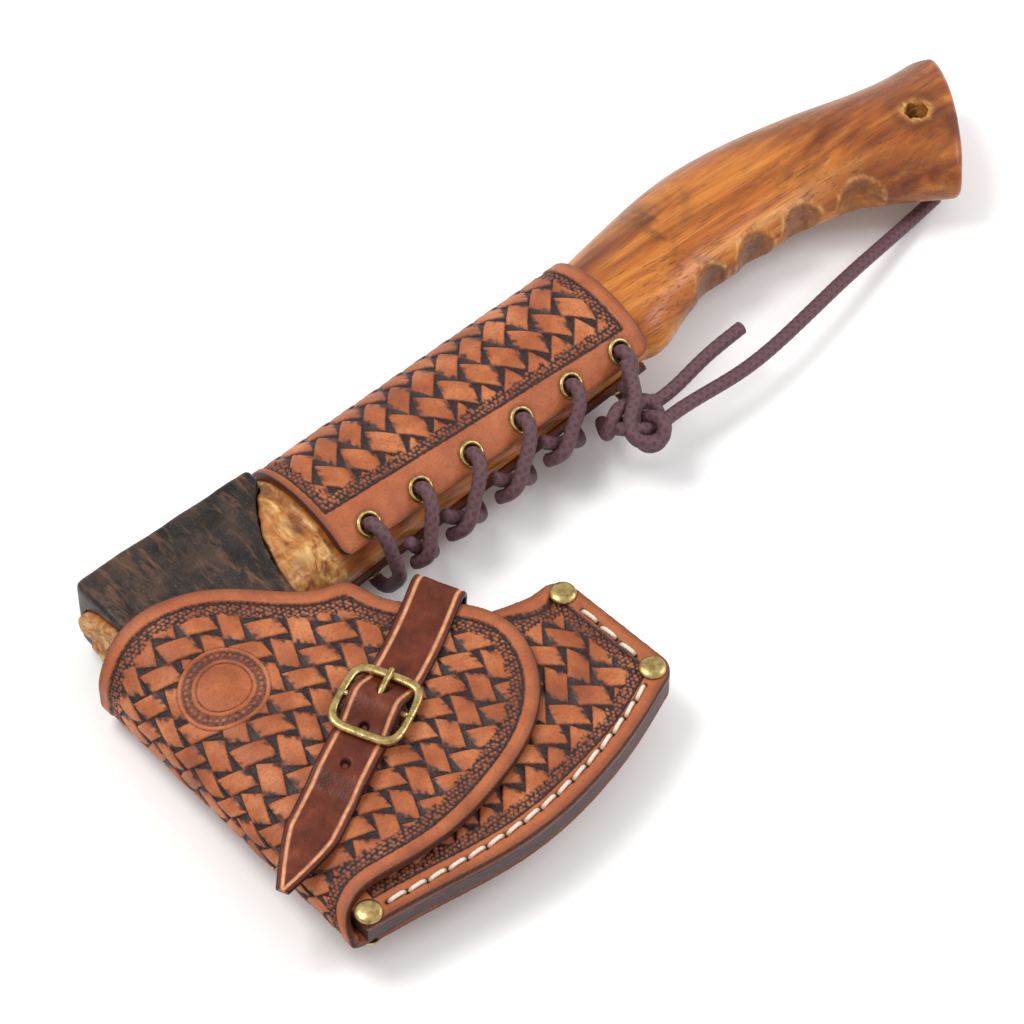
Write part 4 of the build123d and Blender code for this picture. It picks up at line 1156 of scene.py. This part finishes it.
def buckle():
    tilt = math.radians(4.02)
    bx = FACE_X * math.cos(tilt) + FACE_Z * math.sin(tilt)
    bz = FACE_Z * math.cos(tilt) - FACE_X * math.sin(tilt)
    origin = on_strap(MOUTH_TO_BUCKLE, 0.0, 4.3)
    n = 160
    q = np.linspace(0, 2 * math.pi, n, endpoint=False)
    power = 2 / 4.6
    half_l, half_w = 13.0, 12.3
    cx = half_l * np.sign(np.cos(q)) * np.abs(np.cos(q)) ** power
    cy = half_w * np.sign(np.sin(q)) * np.abs(np.sin(q)) ** power
    loop = np.stack([cx, cy], 1)
    closed = np.vstack([loop, loop[:1]])
    run = run_along(closed)
    even = np.linspace(0, run[-1], n, endpoint=False)
    loop = np.stack([np.interp(even, run, closed[:, i]) for i in (0, 1)], 1)
    tangent = np.roll(loop, -1, 0) - np.roll(loop, 1, 0)
    tangent /= np.linalg.norm(tangent, axis=1)[:, None]
    normal = np.stack([tangent[:, 1], -tangent[:, 0]], 1)
    sides = 20
    ang = np.linspace(0, 2 * math.pi, sides, endpoint=False)
    thick = 1.55 + 0.25 * np.abs(loop[:, 0] / half_l) ** 4
    wire_w = thick[:, None] * np.sign(np.cos(ang)) * np.abs(np.cos(ang)) ** 0.8
    wire_h = 1.25 * np.sign(np.sin(ang)) * np.abs(np.sin(ang)) ** 0.8
    px = loop[:, :1] + normal[:, :1] * wire_w
    py = loop[:, 1:] + normal[:, 1:] * wire_w
    pz = np.broadcast_to(wire_h, px.shape)
    verts = origin + px[..., None] * bx + py[..., None] * FACE_Y + pz[..., None] * bz
    bar_path = np.array([origin + FACE_Y * w for w in np.linspace(-11.6, 11.6, 24)])
    bar, bar_faces, _, _ = tube(bar_path, 1.2, 16, plain_wire, caps=False)
    rim = (verts.reshape(-1, 3), [ring_quads(n, sides, loop=True)], {})
    make_joined("buckle_frame_brass", [rim, (bar, bar_faces, {})], "brass", "buckle", "buckle_frame")
    # prong: loop round the bar, then a tapering round pin that rests on the far rail
    pin = [(57.0, 4.8), (56.2, 5.2), (54.6, 5.4), (53.0, 5.85), (49.0, 6.7), (45.0, 6.4), (42.6, 6.3),
           (41.3, 6.0)]
    path = spline([tuple(on_strap(s, 0.0, h)) for s, h in pin], 0.3)
    length = run_along(path)[-1]
    prong, prong_faces, _, _ = tube(path, 1.25, 20, lambda s, a: 1.08 - 0.22 * s / length)
    hoop = np.array([on_strap(55.8 + 1.95 * math.cos(q), 0.0, 4.3 + 1.95 * math.sin(q))
                     for q in np.linspace(-0.4, 2 * math.pi - 0.9, 40)])
    eye, eye_faces, _, _ = tube(hoop, 0.66, 14, plain_wire, caps=False)
    make_joined("buckle_prong_brass", [(prong, prong_faces, {}), (eye, eye_faces, {})], "brass", "tongue",
                "buckle_tongue")


def dome_profile(radius, height):
    """Domed cap from its foot up over the crown."""
    lip = 0.5
    pts = [(radius - 0.35, 0.0), (radius, 0.25), (radius, lip)]
    for share in np.linspace(0.12, 1, 16):
        q = share * math.pi / 2
        pts.append((radius * math.cos(q) ** 0.75, lip + (height - lip) * math.sin(q)))
    pts[-1] = (0.01, height)
    return pts


def rivets():
    ex, ey, ez = np.eye(3)
    dome = dome_profile(radius=4.8, height=2.0)
    parts = []
    for x, y in RIVETS:
        v, q = lathe(np.array([x, y, SANDWICH + 0.03]), ex, ey, ez, dome, sides=48)
        parts.append((v, [q], {}))
    make_joined("rivet_caps_brass", parts, "brass", "sheath", "rivet_caps")


def thread_twist(s, angle):
    return 0.9 + 0.16 * np.abs(np.cos(angle + 2.2 * s))


def stitches():
    for side, z0, node in ((1, SANDWICH, "stitching_front"), (-1, -SANDWICH, "stitching_back")):
        parts = []
        for x, y, turn in stitch_places():
            lean = turn + 0.09 * side
            d = np.array([math.cos(lean), math.sin(lean), 0])
            half = STITCH_PITCH / 2 - 0.55
            t = np.linspace(-1, 1, 22)
            path = np.array([[x, y, z0]]) + np.outer(t * half, d)
            path[:, 2] += side * (0.42 - 1.05 * np.abs(t) ** 4)
            v, f, s, ang = tube(path, 0.72, 14, thread_twist, caps=False)
            rest = np.stack([s, ang * 0.7, 0 * s + x], -1) * MM
            # painted shade where each stitch sinks into its hole
            dark = 0.8 * smooth(0.55, 1.0, np.abs(np.repeat(t, 14)))
            parts.append((v, f, {"rest": rest, "dark": dark}))
        make_joined(node + "_thread", parts, "thread", "sheath", node)


# ---- head and haft: resurfaced from their CAD solids with carved and worn detail ----
def arch_x(y):
    """Steel boundary on the haft side."""
    arch = spline([(38, -7), (28.6, -17.9), (21, -34.5), (19.3, -54), (31, -84), (54, -104), (77, -118)])
    return np.interp(-y, -arch[:, 1], arch[:, 0])


def remeshed(node, voxel):
    """Even, dense copy of a CAD piece: the mesh, its points in mm and their normals."""
    temp = bpy.data.objects.new(node + "_work", NODES[node].data.copy())
    bpy.context.scene.collection.objects.link(temp)
    remesh = temp.modifiers.new("remesh", "REMESH")
    remesh.mode = "VOXEL"
    remesh.voxel_size = voxel * MM * 1.0
    remesh.adaptivity = 0.0
    soften = temp.modifiers.new("soften", "SMOOTH")
    soften.iterations = 3
    soften.factor = 0.5
    depsgraph = bpy.context.evaluated_depsgraph_get()
    baked = bpy.data.meshes.new_from_object(temp.evaluated_get(depsgraph))
    bpy.data.objects.remove(temp)
    co = np.zeros(len(baked.vertices) * 3)
    baked.vertices.foreach_get("co", co)
    nor = np.zeros(len(baked.vertices) * 3, np.float32)
    baked.vertices.foreach_get("normal", nor)
    return baked, co.reshape(-1, 3) / MM, nor.reshape(-1, 3)


def place_remeshed(name, baked, co, rest, attrs, slot, node):
    baked.vertices.foreach_set("co", (co * MM).ravel())
    for key, value in attrs.items():
        baked.attributes.new(key, "FLOAT", "POINT").data.foreach_set("value", value.astype(np.float32))
    baked.attributes.new("rest", "FLOAT_VECTOR", "POINT").data.foreach_set(
        "vector", (rest * MM).astype(np.float32).ravel())
    baked.materials.clear()
    baked.materials.append(FINISH[slot])
    baked.polygons.foreach_set("use_smooth", np.ones(len(baked.polygons), bool))
    baked.update()
    obj = bpy.data.objects.new(name, baked)
    bpy.context.scene.collection.objects.link(obj)
    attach(obj, "hatchet")
    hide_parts(node)


def head_piece():
    """Forged head: worn round at the poll ends, slightly hammered, its bit left keen."""
    baked, co, nor = remeshed("head", voxel=0.9)
    rest = co.copy()
    links = np.zeros(len(baked.edges) * 2, np.int32)
    baked.edges.foreach_get("vertices", links)
    links = links.reshape(-1, 2)
    count = np.bincount(links.ravel(), minlength=len(co))[:, None]
    x, y, z = rest.T
    outside = ((y + 26.0) / 21.1) ** 2 + (z / 12.1) ** 2 > 1.12
    wear = 0.5 * smooth(-60, -40, y) * (0.12 + 0.88 * (1 - smooth(-34, -22, x))) * outside
    for _ in range(16):
        mean = np.zeros_like(co)
        for axis in range(3):
            mean[:, axis] = (np.bincount(links[:, 0], co[links[:, 1], axis], len(co))
                             + np.bincount(links[:, 1], co[links[:, 0], axis], len(co)))
        co += wear[:, None] * (mean / count - co)
    reach = np.hypot(x - EDGE_CENTRE[0], y - EDGE_CENTRE[1])
    hammered = outside * (1 - smooth(70, 88, reach))
    blows = 0.22 * value_noise(x / 9, y / 6, 31) + 0.1 * value_noise(x / 3, y / 2.5, 32)
    co += nor * (hammered * blows)[:, None]
    # the bit: points near the rim are drawn out onto the edge arc and thinned to a keen line
    drawn = np.where(reach > 92, np.minimum(92 + (reach - 92) * 11.4 / 8.6, EDGE_RADIUS), reach)
    co[:, 0] = np.clip(co[:, 0] + (drawn - reach) * (x - EDGE_CENTRE[0]) / reach, -42, 77)
    co[:, 1] += (drawn - reach) * (y - EDGE_CENTRE[1]) / reach
    keen = np.interp(drawn, [88, 103.5], [4.3, 0.12])
    co[:, 2] = np.where(reach > 88, np.clip(co[:, 2], -keen, keen), co[:, 2])
    ground = {"ground": smooth(88.5, 90.5, drawn + 0.6 * value_noise(x / 6, y / 6, 33))}
    place_remeshed("head_forged", baked, co, rest, ground, "forged_steel", "head")


def haft_piece():
    baked, co, nor = remeshed("haft", voxel=0.75)
    n = len(co)
    x, y, z = co.T
    rest = co.copy()
    pale = np.zeros(n)
    grey = np.zeros(n)
    dark = np.zeros(n)
    move = np.zeros(n)
    shaft = smooth(186, 200, x)
    move += shaft * 0.10 * value_noise(x / 14, (y + z) / 4, 1)
    # rasped shoulder between the steel and the collar
    shoulder = smooth(13, 16, x) * (1 - smooth(39, 43, x)) * smooth(-70, -60, y)
    chips = value_noise(x / 3.4, y / 11.0, 2) + 0.45 * value_noise(x / 1.4, y / 4.0, 3)
    move += shoulder * 0.5 * chips
    pale = np.maximum(pale, shoulder * (0.35 + 0.65 * smooth(-0.6, 0.5, chips)))
    dark = np.maximum(dark, shoulder * 0.55 * smooth(0.7, 1.25, -chips))
    dark = np.maximum(dark, 0.75 * shoulder * (1 - smooth(0.0, 2.2, x - arch_x(y))))
    # finger scoops: worn, rasped across, with a painted highlight along their rims
    for sx in SCOOPS:
        bottom = haft_at(sx)[1]
        ring = np.hypot(x - sx, y - (bottom - 5.0))
        scoop = (1 - smooth(9.7, 10.5, ring)) * smooth(-80, -20, y)
        rasp = value_noise(x / 0.9, z / 3.0, 5) + 0.5 * value_noise(x / 2.5, z / 2.0, 6)
        grey = np.maximum(grey, scoop * (0.55 + 0.45 * smooth(-0.4, 0.5, value_noise(x / 3, z / 5, 8))))
        move += scoop * 0.16 * rasp
        # painted highlight: a pale ring along each scoop's rim
        lip = bell(ring - 10.9, 0.7) * (y < bottom + 9)
        pale = np.maximum(pale, 0.55 * lip)
    # chipped lanyard hole
    hole = np.hypot(x - LANYARD_HOLE[0], y - LANYARD_HOLE[1])
    spoil = 1 - smooth(4.6, 7.4, hole + 0.9 * value_noise(x / 2, y / 2, 9))
    pale = np.maximum(pale, 0.95 * spoil)
    move -= spoil * (0.35 + 0.45 * value_noise(x / 1.3, y / 1.3, 11))
    dark = np.maximum(dark, 0.45 * bell(hole - 8.5, 2.4))
    # rough end grain standing out of the eye
    tenon = 1 - smooth(-38.3, -37.9, x)
    fibres = hashed(np.round(y / 0.9), np.round(z / 0.9), 4)
    push = tenon * (0.6 + 1.7 * smooth(-1, 1, value_noise(y / 3, z / 3, 12)) + 0.6 * fibres)
    pale = np.maximum(pale, 0.85 * tenon)
    co = co + nor * move[:, None]
    co[:, 0] -= push
    # painted highlight: upward-facing wood along the grip is marked to be lightened
    painted_top_light = smooth(0.15, 0.85, nor[:, 1]) * smooth(190, 230, x)
    attrs = {"pale": pale, "grey": grey, "dark": dark, "top": painted_top_light}
    place_remeshed("haft_carved", baked, co, rest, attrs, "haft_wood", "haft")


# CAD nodes whose own shape stays, by the finish they get
SHOWN_CAD = {
    "forged_steel": ["cross_wedge"], "wedge_wood": ["eye_wedge"],
    "edge_leather": ["sheath_welt_upper", "sheath_welt_lower"],
    "brass": ["rivet_posts", "strap_rivets", "chape_rivets"], "strap_leather": ["strap_back", "buckle_chape"],
}


def restyle(names, material):
    for name in names:
        slots = NODES[name].material_slots
        for slot in slots:
            slot.material = material
        if not slots:
            NODES[name].data.materials.append(material)


# ---- studio ----
def area_light(name, place, target, size, power, colour):
    data = bpy.data.lights.new(name, "AREA")
    data.shape = "SQUARE"
    data.size = size
    data.energy = power
    data.color = colour
    lamp = bpy.data.objects.new(name, data)
    bpy.context.scene.collection.objects.link(lamp)
    lamp.location = place
    lamp.rotation_euler = (Vector(target) - Vector(place)).to_track_quat("-Z", "Y").to_euler()


def studio():
    floor_z = cad_box[0][2] - 0.0015
    mesh = bpy.data.meshes.new("floor")
    corners = [(x, y, floor_z) for x, y in ((-6, -6), (6, -6), (6, 6), (-6, 6))]
    mesh.from_pydata(corners, [], [(0, 1, 2, 3)])
    floor = bpy.data.objects.new("floor", mesh)
    bpy.context.scene.collection.objects.link(floor)
    s = Shader("floor_paper")
    floor_tone = s.ramp(s.noise(3, 2), (0.3, (0.93, 0.93, 0.93)), (0.7, (0.96, 0.96, 0.96)))
    mesh.materials.append(s.finish(floor_tone, 0.9, specular=0.0))
    world = bpy.data.worlds.new("studio")
    bpy.context.scene.world = world
    world.use_nodes = True
    world.node_tree.nodes["Background"].inputs[0].default_value = (1, 1, 1, 1)
    world.node_tree.nodes["Background"].inputs[1].default_value = 0.78
    middle = (0.12, -0.07, 0)
    area_light("key", (-0.35, 0.35, 1.25), middle, size=0.6, power=10.5, colour=(1.0, 0.98, 0.95))
    area_light("side", (0.95, -0.55, 0.8), middle, size=0.5, power=5.0, colour=(0.97, 0.98, 1.0))
    bpy.context.scene.view_settings.view_transform = "Standard"


def camera():
    azimuth, elevation, distance = math.radians(-40.7), math.radians(52.0), 1.5
    target = Vector((0.103576, -0.066136, 0.0))
    level = math.cos(elevation)
    back = Vector((math.sin(azimuth) * level, -math.cos(azimuth) * level, math.sin(elevation)))
    data = bpy.data.cameras.new("camera")
    sensor, frame_px, focal_px = 36, 1024, 4275
    data.lens = focal_px / frame_px * sensor
    data.sensor_width = sensor
    obj = bpy.data.objects.new("camera", data)
    bpy.context.scene.collection.objects.link(obj)
    obj.location = target + back * distance
    obj.rotation_euler = (-back).to_track_quat("-Z", "Y").to_euler()
    bpy.context.scene.camera = obj


wrap_panel()
front_panel()
collar_panel()
eyelets()
laces()
strap_piece()
buckle()
rivets()
stitches()
haft_piece()
head_piece()
for slot, shown in SHOWN_CAD.items():
    restyle(shown, FINISH[slot])
studio()
camera()
